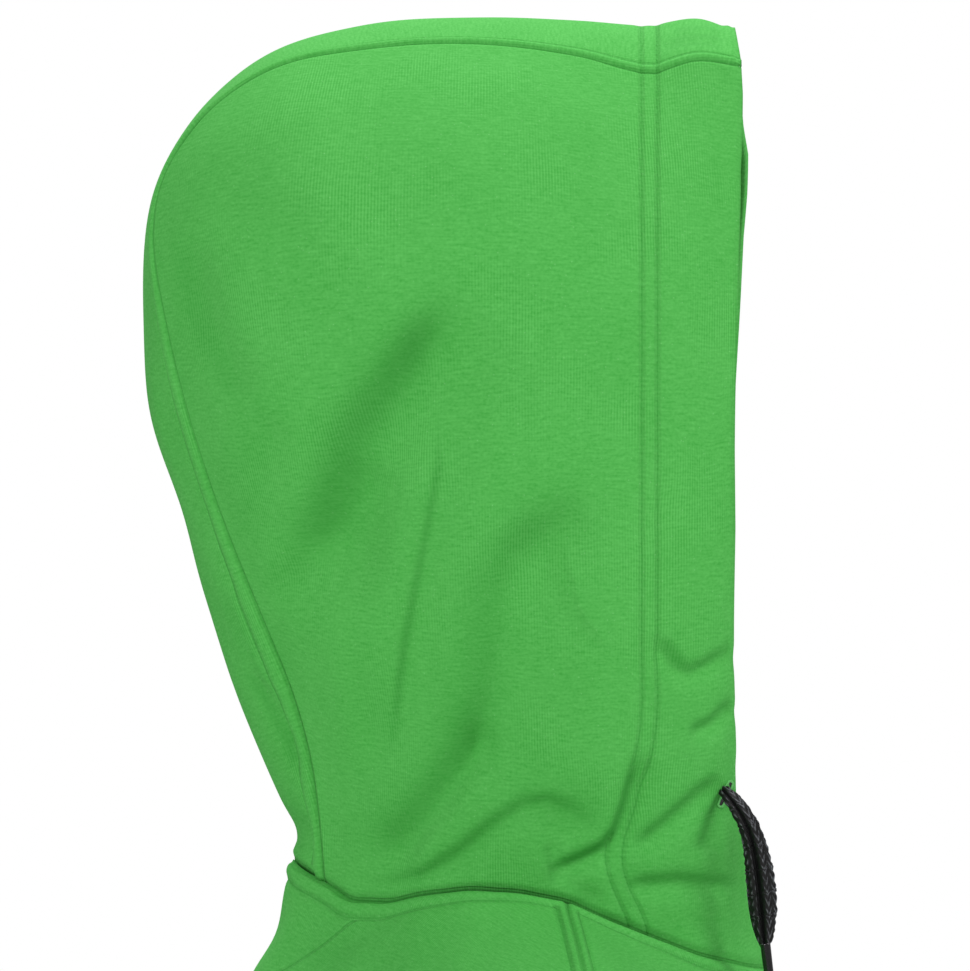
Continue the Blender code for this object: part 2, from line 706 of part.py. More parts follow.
def wall_mesh(name, outer, inner, wrap):
    """A closed wall between two grids of the same shape."""
    rows, count = outer.shape[:2]
    mesh = bpy.data.meshes.new(name)
    shape = bmesh.new()
    front = [[shape.verts.new(point) for point in row] for row in outer]
    rear = [[shape.verts.new(point) for point in row] for row in inner]
    around = count if wrap else count - 1
    for row in range(rows - 1):
        for column in range(around):
            side = (column + 1) % count
            corners = ((row, column), (row, side), (row + 1, side), (row + 1, column))
            shape.faces.new([front[i][j] for i, j in corners])
            shape.faces.new([rear[i][j] for i, j in (corners[0], *reversed(corners[1:]))])
    for column in range(around):
        side = (column + 1) % count
        shape.faces.new((front[0][side], front[0][column], rear[0][column], rear[0][side]))
        shape.faces.new((front[-1][column], front[-1][side], rear[-1][side], rear[-1][column]))
    if not wrap:
        for row in range(rows - 1):
            shape.faces.new((front[row + 1][0], rear[row + 1][0], rear[row][0], front[row][0]))
            shape.faces.new((front[row + 1][-1], front[row][-1], rear[row][-1], rear[row + 1][-1]))
    bmesh.ops.recalc_face_normals(shape, faces=shape.faces)
    shape.to_mesh(mesh)
    shape.free()
    mesh.shade_smooth()
    mesh.set_sharp_from_angle(angle=math.radians(40))
    return mesh


def add(name, mesh, material):
    piece = bpy.data.objects.new(name, mesh)
    mesh.materials.append(material)
    hoodie.objects.link(piece)
    return piece


def add_wall(sheet, material, sides):
    outer = eased(sheet, sides)
    inner = outer - sheet.normals * sheet.thickness[..., None]
    return add(sheet.name, wall_mesh(sheet.name, outer, inner, sheet.wrap), material)


def finish(name, colour, roughness, metallic=0.0):
    """A Principled material with one colour."""
    material = bpy.data.materials.new(name)
    material.use_nodes = True
    shader = material.node_tree.nodes["Principled BSDF"]
    shader.inputs["Base Color"].default_value = (*colour, 1.0)
    shader.inputs["Roughness"].default_value = roughness
    shader.inputs["Metallic"].default_value = metallic
    return material


# ---------------------------------------------------------------- the hood, body and sleeves


def make_garment(fleece):
    """The hood, fronts, back and sleeves, which share their seams. Returns the left front and sleeve."""
    neck = neck_points()
    point = NECK_STEPS_CENTRE + NECK_STEPS_BACK
    strip_neck = neck[:NECK_STEPS_CENTRE]
    back_neck = halved(neck[NECK_STEPS_CENTRE : point + 1], HOOD_SPLIT)
    front_neck = halved(neck[point:], HOOD_SPLIT)[::-1]
    front_grid = body_grid("front", front_neck, CENTRE_GAP)
    back_half = body_grid("back", np.concatenate([strip_neck, back_neck]), 0.0)
    back_grid = np.concatenate([back_half[:, :0:-1] * (-1, 1, 1), back_half], axis=1)
    side_left = Sheet("hood_side_left", hood_side_grid(neck), flip=True)
    centre = Sheet("hood_centre", hood_centre_grid(), flip=True)
    front_left = Sheet("front_left", front_grid)
    back = Sheet("back", back_grid, flip=True)
    sleeve_left = Sheet("sleeve_left", sleeve_grid(front_grid, back_half), wrap=True)
    casing_steps = HOOD_SPLIT * NECK_STEPS_CASING
    side_left.thickness[:, -casing_steps - 1 :] = CASING_CLOTH
    centre.thickness[-casing_steps - 1 :] = CASING_CLOTH
    lefts = (side_left, front_left, sleeve_left)
    face_outwards(lefts + (centre, back))
    rights = [sheet.mirrored(sheet.name.replace("left", "right")) for sheet in lefts]
    everything = (*lefts, *rights, centre, back)
    share_seam_normals(everything)
    for sheet in (side_left, rights[0]):
        smooth_halfway(sheet, 0, range(1, sheet.grid.shape[1], HOOD_SPLIT))
    for sheet in (front_left, rights[1]):
        smooth_halfway(sheet, -1, range(1, sheet.grid.shape[1], HOOD_SPLIT))
    last = back.grid.shape[1] - 1
    halfway = HOOD_SPLIT * NECK_STEPS_BACK
    smooth_halfway(back, -1, range(1, halfway, HOOD_SPLIT))
    smooth_halfway(back, -1, range(last - 1, last - halfway, -HOOD_SPLIT))
    for sheet in everything:
        level_ends(sheet)
        add_wall(sheet, fleece, SEWN_EDGES - {FACE_EDGES.get(sheet.name)})
    return front_left, sleeve_left


def face_outwards(sheets):
    """Turns each sheet's normals away from the middle of the garment."""
    for sheet in sheets:
        middle = sheet.grid.reshape(-1, 3).mean(axis=0)
        if sheet.wrap:
            away = sheet.grid - sheet.grid.mean(axis=1, keepdims=True)
        elif sheet.name.startswith("hood_side"):
            away = np.broadcast_to(np.array([1.0, 0.0, 0.0]), sheet.grid.shape)
        elif sheet.name == "hood_centre":
            away = sheet.grid - np.array([0.0, 0.0, middle[2] * 0.8])
        else:
            away = np.broadcast_to(np.array([0.0, middle[1], 0.0]), sheet.grid.shape)
        if (sheet.normals * away).sum() < 0:
            sheet.normals *= -1


def level_ends(sheet):
    """Keeps the walls level where a rib is sewn on: the normals there lie in the seam's own plane."""
    if sheet.name in ("front_left", "front_right", "back"):
        level = sheet.normals[0]
        level[:, 2] = 0
        sheet.normals[0] = level / np.linalg.norm(level, axis=1, keepdims=True)
    if sheet.wrap:
        ring = sheet.grid[-1]
        axis = ring_axis(ring)
        level = sheet.normals[-1]
        level = level - axis * (level @ axis)[:, None]
        sheet.normals[-1] = level / np.linalg.norm(level, axis=1, keepdims=True)


def ring_axis(ring):
    middle = ring.mean(axis=0)
    quarter = len(ring) // 4
    axis = np.cross(ring[0] - middle, ring[quarter] - middle)
    return axis / np.linalg.norm(axis)


# ---------------------------------------------------------------- ribs


def make_hem(rib):
    """The hem band: one ribbed strip round the body, open at the centre front."""
    count = 2 * HEM_RIBS
    levels = np.array(HEM_LEVELS)
    outer = np.zeros((len(levels), count + 1, 3))
    inner = np.zeros_like(outer)
    raised = RIB_HEIGHT * (np.arange(count + 1) % 2)
    for index, z in enumerate(levels):
        start = float(body_angle(CENTRE_GAP + SEAM_EASE, z))
        angle = np.linspace(start, 2 * math.pi - start, count + 1)
        ring, normal = body_ring(angle, z)
        outer[index] = ring + normal * raised[:, None]
        inner[index] = ring - normal * RIB_CLOTH
    add("hem_band", wall_mesh("hem_band", outer, inner, wrap=False), rib)


def body_ring(angle, z):
    """Points and level normals round the body at a height, the angle counted from the centre front."""
    half = float(profile(BODY, "z", "half_width", z))
    front = float(profile(BODY, "z", "front", z))
    back = float(profile(BODY, "z", "back", z))
    x, y = ring_points(angle, half, front, back).T
    points = np.stack([x, y, np.full_like(x, z)], axis=1)
    step = 0.004
    along = ring_points(angle + step, half, front, back) - ring_points(angle - step, half, front, back)
    normal = np.stack([-along[:, 1], along[:, 0]], axis=1)
    normal /= np.linalg.norm(normal, axis=1, keepdims=True)
    outward = np.sign((normal * (points[:, :2] - (0, BODY_MID_Y))).sum(axis=1))[:, None]
    normal = normal * outward
    return points, np.concatenate([normal, np.zeros((len(x), 1))], axis=1)


def ring_points(angle, half, front, back):
    power = 2 / BODY_ROUND
    depth = np.where(np.cos(angle) > 0, front, back)
    x = half * np.sign(np.sin(angle)) * np.abs(np.sin(angle)) ** power
    y = BODY_MID_Y - depth * np.sign(np.cos(angle)) * np.abs(np.cos(angle)) ** power
    return np.stack([x, y], axis=1)


def make_cuffs(sleeve, rib):
    """A ribbed tube on the end of each sleeve."""
    ring = sleeve.grid[-1]
    middle = ring.mean(axis=0)
    axis = ring_axis(ring)
    axis = -axis if axis[2] > 0 else axis
    turned = np.array(CUFF_TURN) / np.linalg.norm(CUFF_TURN)
    count = 2 * CUFF_RIBS
    closed = np.concatenate([ring, ring[:1]])
    knots = lengths(closed)
    loop = follow(knots, closed, np.linspace(0, knots[-1], count + 1)[:-1]) - middle
    loop -= axis * (loop @ axis)[:, None]
    size = np.linalg.norm(loop, axis=1, keepdims=True)
    away = loop / size
    raised = (RIB_HEIGHT * (np.arange(count) % 2))[:, None]
    outer = []
    inner = []
    for down, shrink in ((2 * SEAM_EASE, 0.5 * MM), (12 * MM, 2.0 * MM), (CUFF_LENGTH, 2.6 * MM)):
        share = down / CUFF_LENGTH
        line = axis * down * (1 - share) + (axis + turned) / 2 * down * share
        outer.append(middle + line + away * (size - shrink + raised))
        inner.append(middle + line + away * (size - shrink - RIB_CLOTH))
    outer = np.stack(outer)
    inner = np.stack(inner)
    add("cuff_left", wall_mesh("cuff_left", outer, inner, wrap=True), rib)
    flip = np.array([-1.0, 1.0, 1.0])
    add("cuff_right", wall_mesh("cuff_right", outer * flip, inner * flip, wrap=True), rib)


# ---------------------------------------------------------------- what lies on the fronts


def front_surface(x, z):
    """The left front's outer surface below the neck, over its front view: points and normals."""
    step = 1 * MM
    y = body_depth("front", x, z)
    left_y = body_depth("front", x + step, z)
    right_y = body_depth("front", np.maximum(x - step, 0), z)
    slope_x = (left_y - right_y) / (2 * step)
    slope_z = (body_depth("front", x, z + step) - body_depth("front", x, z - step)) / (2 * step)
    normal = np.stack([slope_x, -np.ones_like(y), slope_z], axis=-1)
    normal /= np.linalg.norm(normal, axis=-1, keepdims=True)
    return np.stack([x, y, z], axis=-1), normal


def make_pockets(fleece):
    """A patch pocket on each front, with a slanting hand opening towards the side."""
    levels = (HEM_SEAM_Z + 3 * MM, -570 * MM, POCKET_CORNER_Z, -495 * MM, -450 * MM, POCKET_TOP_Z)
    across = np.linspace(0, 1, 8)
    z = np.repeat(np.array(levels)[:, None], len(across), axis=1)
    slant = np.clip((z - POCKET_CORNER_Z) / (POCKET_TOP_Z - POCKET_CORNER_Z), 0, 1)
    out_x = POCKET_OUT_X + (POCKET_TOP_OUT_X - POCKET_OUT_X) * slant
    x = POCKET_IN_X + (out_x - POCKET_IN_X) * across[None]
    points, normals = front_surface(x, z)
    lift = POCKET_LIFT * across[None] ** 6 * np.sin(math.pi * np.clip(slant, 0, 1)) ** 0.5
    below = points + normals * (LAYER_GAP + FACET_ROOM + lift)[..., None]
    above = below + normals * CLOTH
    flip = np.array([-1.0, 1.0, 1.0])
    add("pocket_left", wall_mesh("pocket_left", above, below, False), fleece)
    add("pocket_right", wall_mesh("pocket_right", above * flip, below * flip, False), fleece)


def centre_line(front, foot_z):
    """Points and normals along the centre front at the body's own rows, and how they change with x."""
    rows = [(z, *hem_edge(z)) for z in (foot_z, *HEM_LEVELS[1::-1])]
    stations = []
    for z, start, beside in rows:
        stations.append((start, beside, np.array([0.0, -1.0, 0.0]), np.array([0.0, -1.0, 0.0])))
    for row in range(1, len(front.grid) - 1):
        stations.append((*front.grid[row, :2], *front.normals[row, :2]))
    last = front.grid[-1, :2] + (front.grid[-2, :2] - front.grid[-1, :2]) * (1 - TAPE_TOP_SHARE)
    stations.append((*last, *front.normals[-1, :2]))
    return stations


def hem_edge(z):
    """The hem band's point at the centre gap, and one further round."""
    points = []
    for x in (CENTRE_GAP, CENTRE_GAP + HEM_BESIDE):
        ring, _ = body_ring(np.array([float(body_angle(x, z))]), z)
        points.append(ring[0])
    return points


def zip_point(station, x, behind):
    """A point beside the centre front, a given depth behind the fronts' outer surface."""
    start, beside, normal, next_normal = station
    share = (x - start[0]) / (beside[0] - start[0])
    point = start + (beside - start) * max(share, 0)
    here = normal + (next_normal - normal) * max(share, 0)
    here = here / np.linalg.norm(here)
    place = point - here * behind
    return np.array([x, place[1], place[2]])


def zip_strip(name, x_from, x_to, stations, near, far, material):
    """A flat strip along the centre front, between two depths behind the fronts' surface."""
    outer = np.array([[zip_point(row, abs(x), near) for x in (x_from, x_to)] for row in stations])
    inner = np.array([[zip_point(row, abs(x), far) for x in (x_from, x_to)] for row in stations])
    outer[:, :, 0] = (x_from, x_to)
    inner[:, :, 0] = (x_from, x_to)
    return add(name, wall_mesh(name, outer, inner, False), material)


def zip_frame(z):
    """A matrix at the centre front, on the fronts' outer surface: its Y points in, its Z up the zip."""
    points, normals = front_surface(np.array([0.0]), np.array([z]))
    inward = Vector((0, -normals[0][1], -normals[0][2])).normalized()
    across = Vector((1, 0, 0))
    up = across.cross(inward).normalized()
    frame = Matrix((across, inward, up)).transposed().to_4x4()
    return Matrix.Translation(Vector(points[0])) @ frame


def block(shape, low, high):
    """Adds a box between two corners to a bmesh."""
    size = [high[i] - low[i] for i in range(3)]
    middle = [(high[i] + low[i]) / 2 for i in range(3)]
    place = Matrix.Translation(middle) @ Matrix.Diagonal((*size, 1))
    bmesh.ops.create_cube(shape, size=1, matrix=place)


def union_of_blocks(name, blocks, frame):
    """One closed mesh of several boxes that share their faces, set in a frame."""
    mesh = bpy.data.meshes.new(name)
    pieces = []
    for low, high in blocks:
        shape = bmesh.new()
        block(shape, low, high)
        part = bpy.data.meshes.new(name + "_block")
        shape.to_mesh(part)
        shape.free()
        piece = bpy.data.objects.new(name + "_block", part)
        cutters.objects.link(piece)
        pieces.append(piece)
    for other in pieces[1:]:
        join = pieces[0].modifiers.new("join", "BOOLEAN")
        join.operation = "UNION"
        join.object = other
    bpy.context.view_layer.update()
    graph = bpy.context.evaluated_depsgraph_get()
    mesh = bpy.data.meshes.new_from_object(pieces[0].evaluated_get(graph))
    mesh.name = name
    for piece in pieces:
        bpy.data.objects.remove(piece)
    mesh.transform(frame)
    return mesh


def make_zip(front, tape_cloth, metal):
    """The tapes, the closed chain, the box at its foot, and the slider with its pull."""
    foot_z = HEM_END_Z + BOX_LENGTH + LAYER_GAP
    tape_behind = RIB_CLOTH + LAYER_GAP
    stations = centre_line(front, foot_z)
    for side, name in ((1, "zip_tape_left"), (-1, "zip_tape_right")):
        inner_x = side * TAPE_INNER
        outer_x = side * TAPE_OUTER
        near = tape_behind
        far = tape_behind + TAPE_CLOTH
        low, high = sorted((inner_x, outer_x))
        zip_strip(name, low, high, stations, near, far, tape_cloth)
    chain_mid = tape_behind + TAPE_CLOTH / 2
    near = chain_mid - CHAIN_THICK / 2
    far = chain_mid + CHAIN_THICK / 2
    chain_top = SLIDER_Z + SLIDER_LENGTH / 2 - BRIDGE_LENGTH - LAYER_GAP - 0.3 * MM
    below = [row for row in stations if row[0][2] < chain_top]
    above = stations[len(below)]
    share = (chain_top - below[-1][0][2]) / (above[0][2] - below[-1][0][2])
    top_row = tuple(low + (high - low) * share for low, high in zip(below[-1], above))
    zip_strip("zip_chain", -CHAIN_HALF, CHAIN_HALF, below + [top_row], near, far, metal)
    frame = zip_frame(HEM_END_Z + BOX_LENGTH / 2 + 0.2 * MM)
    low = (-BOX_HALF, chain_mid - BOX_THICK / 2, -BOX_LENGTH / 2)
    high = (BOX_HALF, chain_mid + BOX_THICK / 2, BOX_LENGTH / 2 - 0.2 * MM)
    add("zip_box", union_of_blocks("zip_box", ((low, high),), frame), metal)
    make_slider(metal, near, far)


def make_slider(metal, near, far):
    """The slider's two plates, bridge and bail, and the pull that hangs in the bail."""
    frame = zip_frame(SLIDER_Z)
    half = SLIDER_LENGTH / 2
    room = LAYER_GAP + 0.1 * MM
    front_back = near - room
    front_face = front_back - SLIDER_PLATE
    rear_face = far + room
    blocks = [
        ((-SLIDER_HALF, front_face, -half), (SLIDER_HALF, front_back, half)),
        ((-SLIDER_HALF, rear_face, -half), (SLIDER_HALF, rear_face + SLIDER_PLATE, half)),
        (
            (-BRIDGE_HALF, front_back - OVERLAP, half - BRIDGE_LENGTH),
            (BRIDGE_HALF, rear_face + OVERLAP, half),
        ),
    ]
    bail_half = BAIL_LENGTH / 2
    bail_out = front_face - BAIL_ROOM - BAIL_THICK
    for end in (-1, 1):
        inner_end = end * (bail_half - BAIL_THICK)
        outer_end = end * bail_half
        low = (-BAIL_HALF, bail_out, min(inner_end, outer_end))
        high = (BAIL_HALF, front_face + OVERLAP, max(inner_end, outer_end))
        blocks.append((low, high))
    blocks.append(((-BAIL_HALF, bail_out, -bail_half), (BAIL_HALF, bail_out + BAIL_THICK, bail_half)))
    add("zip_slider", union_of_blocks("zip_slider", blocks, frame), metal)
    make_pull(metal, frame, front_face - BAIL_ROOM / 2)


def make_pull(metal, frame, depth):
    """The pull tab, with the bar of its eye on the hinge axis inside the bail."""
    bar = PULL_THICK / 2
    pivot = frame @ Vector((0, depth, BAIL_LENGTH / 2 - BAIL_THICK - bar - 0.35 * MM))
    outline = bpy.data.curves.new("zip_pull_outline", "CURVE")
    outline.dimensions = "2D"
    outline.fill_mode = "BOTH"
    outline.extrude = PULL_THICK / 2
    foot = -(PULL_LENGTH - PULL_HALF)
    side = [(-PULL_HALF * 0.8, bar), (-PULL_HALF, foot)]
    arc = [
        (-PULL_HALF * math.cos(turn), foot - PULL_HALF * math.sin(turn))
        for turn in np.linspace(0, math.pi, 9)[1:-1]
    ]
    around = side + arc + [(PULL_HALF, foot), (PULL_HALF * 0.8, bar)]
    eye_half = BAIL_HALF + 0.5 * MM
    eye = [(-eye_half, -bar), (eye_half, -bar), (eye_half, -bar - PULL_EYE), (-eye_half, -bar - PULL_EYE)]
    for points in (around, eye):
        spline = outline.splines.new("POLY")
        spline.points.add(len(points) - 1)
        for point, (x, y) in zip(spline.points, points):
            point.co = (x, y, 0, 1)
        spline.use_cyclic_u = True
    guide = bpy.data.objects.new("zip_pull_outline", outline)
    cutters.objects.link(guide)
    bpy.context.view_layer.update()
    graph = bpy.context.evaluated_depsgraph_get()
    mesh = bpy.data.meshes.new_from_object(guide.evaluated_get(graph))
    bpy.data.objects.remove(guide)
    shape = bmesh.new()
    shape.from_mesh(mesh)
    bmesh.ops.remove_doubles(shape, verts=shape.verts, dist=0.001 * MM)
    bmesh.ops.recalc_face_normals(shape, faces=shape.faces)
    shape.to_mesh(mesh)
    shape.free()
    mesh.name = "zip_pull"
    mesh.transform(Matrix.Rotation(math.pi / 2, 4, "X"))
    mesh.transform(frame.to_quaternion().to_matrix().to_4x4())
    pull = add("zip_pull", mesh, metal)
    pull.location = pivot
    return pull


# ---------------------------------------------------------------- drawstrings


def make_drawstrings(braid, glossy):
    """The free ends of the drawstring, each with its tip."""
    route = columns(CORD_ROUTE, "x y z")
    points = stretch(route, 0, len(route) - 1, 8)
    turn = Vector(CORD_END_TURN).normalized()
    for side, name in ((1, "right"), (-1, "left")):
        flip = np.array([side, 1.0, 1.0])
        curve = bpy.data.curves.new("drawcord_" + name, "CURVE")
        curve.dimensions = "3D"
        curve.bevel_depth = CORD_RADIUS
        curve.bevel_resolution = 2
        curve.use_fill_caps = True
        spline = curve.splines.new("POLY")
        spline.points.add(len(points) - 1)
        for place, point in zip(spline.points, points * flip):
            place.co = (*point, 1)
        cord = bpy.data.objects.new("drawcord_" + name, curve)
        cord.data.materials.append(braid)
        hoodie.objects.link(cord)
        way = Vector((turn.x * side, turn.y, turn.z))
        start = Vector(points[-1] * flip) + way * 2 * LAYER_GAP
        shape = bmesh.new()
        bmesh.ops.create_cone(
            shape,
            cap_ends=True,
            segments=12,
            radius1=TIP_RADIUS * 0.94,
            radius2=TIP_RADIUS,
            depth=TIP_LENGTH,
        )
        mesh = bpy.data.meshes.new("cord_tip_" + name)
        shape.to_mesh(mesh)
        shape.free()
        mesh.transform(Matrix.Translation((0, 0, -TIP_LENGTH / 2)))
        mesh.transform((-way).to_track_quat("Z", "Y").to_matrix().to_4x4())
        tip = add("cord_tip_" + name, mesh, glossy)
        mesh.shade_smooth()
        mesh.set_sharp_from_angle(angle=math.radians(40))
        tip.location = start


# ---------------------------------------------------------------- the whole garment


def collection(name, hidden=False):
    group = bpy.data.collections.new(name)
    bpy.context.scene.collection.children.link(group)
    group.hide_render = hidden
    return group


for old in list(bpy.data.objects):
    bpy.data.objects.remove(old)
hoodie = collection("zip_up_hoodie")
cutters = collection("cutters", hidden=True)
fleece_finish = finish("fleece", GREEN, 0.9)
rib_finish = finish("rib_knit", DARK_GREEN, 0.9)
tape_finish = finish("zip_tape", DARK_GREEN, 0.8)
metal_finish = finish("zip_metal", NICKEL, 0.35, 1.0)
braid_finish = finish("black_braid", BLACK, 0.7)
tip_finish = finish("glossy_tip", BLACK, 0.25)

left_front, left_sleeve = make_garment(fleece_finish)
make_hem(rib_finish)
make_cuffs(left_sleeve, rib_finish)
make_pockets(fleece_finish)
make_zip(left_front, tape_finish, metal_finish)
make_drawstrings(braid_finish, tip_finish)
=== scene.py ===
"""Dressing of the zip-up hoodie: knitted cloth, stitching, zip and drawstring over the solids.

Metres, +Z up, the front to -Y, the wearer's right to -X. Each cloth piece is a thin, finely divided
shell on its solid's outer face, creased along listed lines, and its seams and stitching are drawn
from distances that are kept on its points.
"""

from __future__ import annotations

import logging
import math
from dataclasses import dataclass, field
from enum import Enum
from functools import partial
from typing import Callable, ClassVar

import bmesh
import bpy
import numpy as np
from bpy.types import Material, Mesh, Node, NodeSocket, NodeTree, Object
from mathutils import Matrix, Vector

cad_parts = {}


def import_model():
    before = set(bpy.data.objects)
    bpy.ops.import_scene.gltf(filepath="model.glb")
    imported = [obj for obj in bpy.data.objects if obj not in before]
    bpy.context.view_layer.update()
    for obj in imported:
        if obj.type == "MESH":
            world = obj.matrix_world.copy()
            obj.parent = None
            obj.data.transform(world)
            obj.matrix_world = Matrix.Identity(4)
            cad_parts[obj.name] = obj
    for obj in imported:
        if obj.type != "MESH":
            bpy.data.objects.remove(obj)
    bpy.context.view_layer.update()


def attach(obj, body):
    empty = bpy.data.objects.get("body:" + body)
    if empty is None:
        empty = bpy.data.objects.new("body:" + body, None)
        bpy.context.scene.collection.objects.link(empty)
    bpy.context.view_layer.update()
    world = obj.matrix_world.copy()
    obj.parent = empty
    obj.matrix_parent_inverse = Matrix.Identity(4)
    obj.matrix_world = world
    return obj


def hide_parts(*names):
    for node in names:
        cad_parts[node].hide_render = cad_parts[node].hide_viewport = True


LOG = logging.getLogger("hoodie")
MM = 0.001
FAR = 1.0  # metres: a seam distance that nothing is drawn at

Points = np.ndarray
Colour = tuple[float, float, float, float]
Adder = Callable[..., NodeSocket]

# Settings of a Mix node that mixes colours, and of a MapRange node that eases.
MIXED = {"out": 2, "data_type": "RGBA"}
SMOOTH = {"interpolation_type": "SMOOTHSTEP"}
SMOOTHER = {"interpolation_type": "SMOOTHERSTEP"}

BODY_AXIS = (0.0, 0.02)
CROWN = 0.3  # the hood is its crown above this height
CROWN_RISE = 2.1 * MM
CASING = 48.6 * MM  # how far forward the front hem's twin stitching runs over the crown
TWIN = 3.1 * MM  # each of its two lines from their middle
ALLOWANCE = 6.5 * MM  # a seam's folded edge, topstitched down
HEM_STEP = 6 * MM  # over which the front hem's second layer begins
TWO_LAYERS = 3.4 * MM
RIB_WALL = 2.2 * MM
SHARP = math.radians(40)  # the least turn at a corner
CURVED = math.radians(60)  # the most bend within a four-sided face, and the most slant
SLANTED = math.radians(75)


class Side(Enum):
    """The wearer's two sides, and which way each lies along X."""

    RIGHT = -1
    LEFT = 1

    @property
    def word(self) -> str:
        """The side's word in node names."""
        return self.name.lower()


class Held(Enum):
    DRAPED = "draped"
    STRETCHED = "stretched"


class Lie(Enum):
    """How an edge lies against its neighbour: its roll inwards, the roll's width, and its reach.

    All three are in millimetres.
    """

    OVER = (0.7, 1.6, 0.8)
    LEVEL = (0.9, 2.4, 0.6)
    MEET = (0.9, 2.0, 0.5)
    UNDER = (1.3, 4.0, 1.6)


# ---------------------------------------------------------------- finishes


def linear(code: str) -> Colour:
    """Turns an sRGB hex colour into linear light.

    Args:
        code: Six hex digits, such as "5cb95a".

    Returns:
        Red, green, blue and an alpha of 1.
    """
    parts = [int(code[i : i + 2], 16) / 255 for i in (0, 2, 4)]
    made = [c / 12.92 if c <= 0.04045 else ((c + 0.055) / 1.055) ** 2.4 for c in parts]
    return (*made, 1.0)


def fill(node: Node, inputs: dict | tuple) -> None:
    """Sets a node's inputs, in order or by name or place.

    Args:
        node: The node.
        inputs: For each a constant, or the socket that feeds it.
    """
    for place, value in inputs.items() if isinstance(inputs, dict) else enumerate(inputs):
        if isinstance(value, NodeSocket):
            node.id_data.links.new(value, node.inputs[place])
        else:
            node.inputs[place].default_value = value


def put(
    tree: NodeTree, kind: str, inputs: dict | tuple = (), out: int | str = 0, **settings: object
) -> NodeSocket:
    """Adds a node with its settings and links.

    Args:
        tree: The material's node tree.
        kind: The node's type, without its ShaderNode prefix.
        inputs: What its inputs take, as for fill.
        out: The wanted output's name or place.
        settings: Properties of the node.

    Returns:
        The wanted output.
    """
    node = tree.nodes.new("ShaderNode" + kind)
    for name, value in settings.items():
        setattr(node, name, value)
    fill(node, inputs)
    return node.outputs[out]


def blank(name: str) -> tuple[Material, Node, Adder]:
    """Makes an empty material.

    Args:
        name: The material's name.

    Returns:
        The material, its Principled shader, and put for its tree.
    """
    material = bpy.data.materials.new(name)
    material.use_nodes = True
    tree = material.node_tree
    return material, tree.nodes["Principled BSDF"], partial(put, tree)


def grain(add: Adder, cloth: NodeSocket, wide: float, high: float, detail: float) -> NodeSocket:
    """Draws noise with grains of a real size.

    Args:
        add: Adds a node.
        cloth: The cloth's own coordinates, in metres.
        wide: A grain's width, in metres.
        high: Its height, in metres.
        detail: The noise's detail.

    Returns:
        The noise.
    """
    sized = add("Mapping", {"Vector": cloth, "Scale": (1 / wide, 1 / high, 1.0)})
    return add("TexNoise", {"Vector": sized, "Scale": 1.0, "Detail": detail})


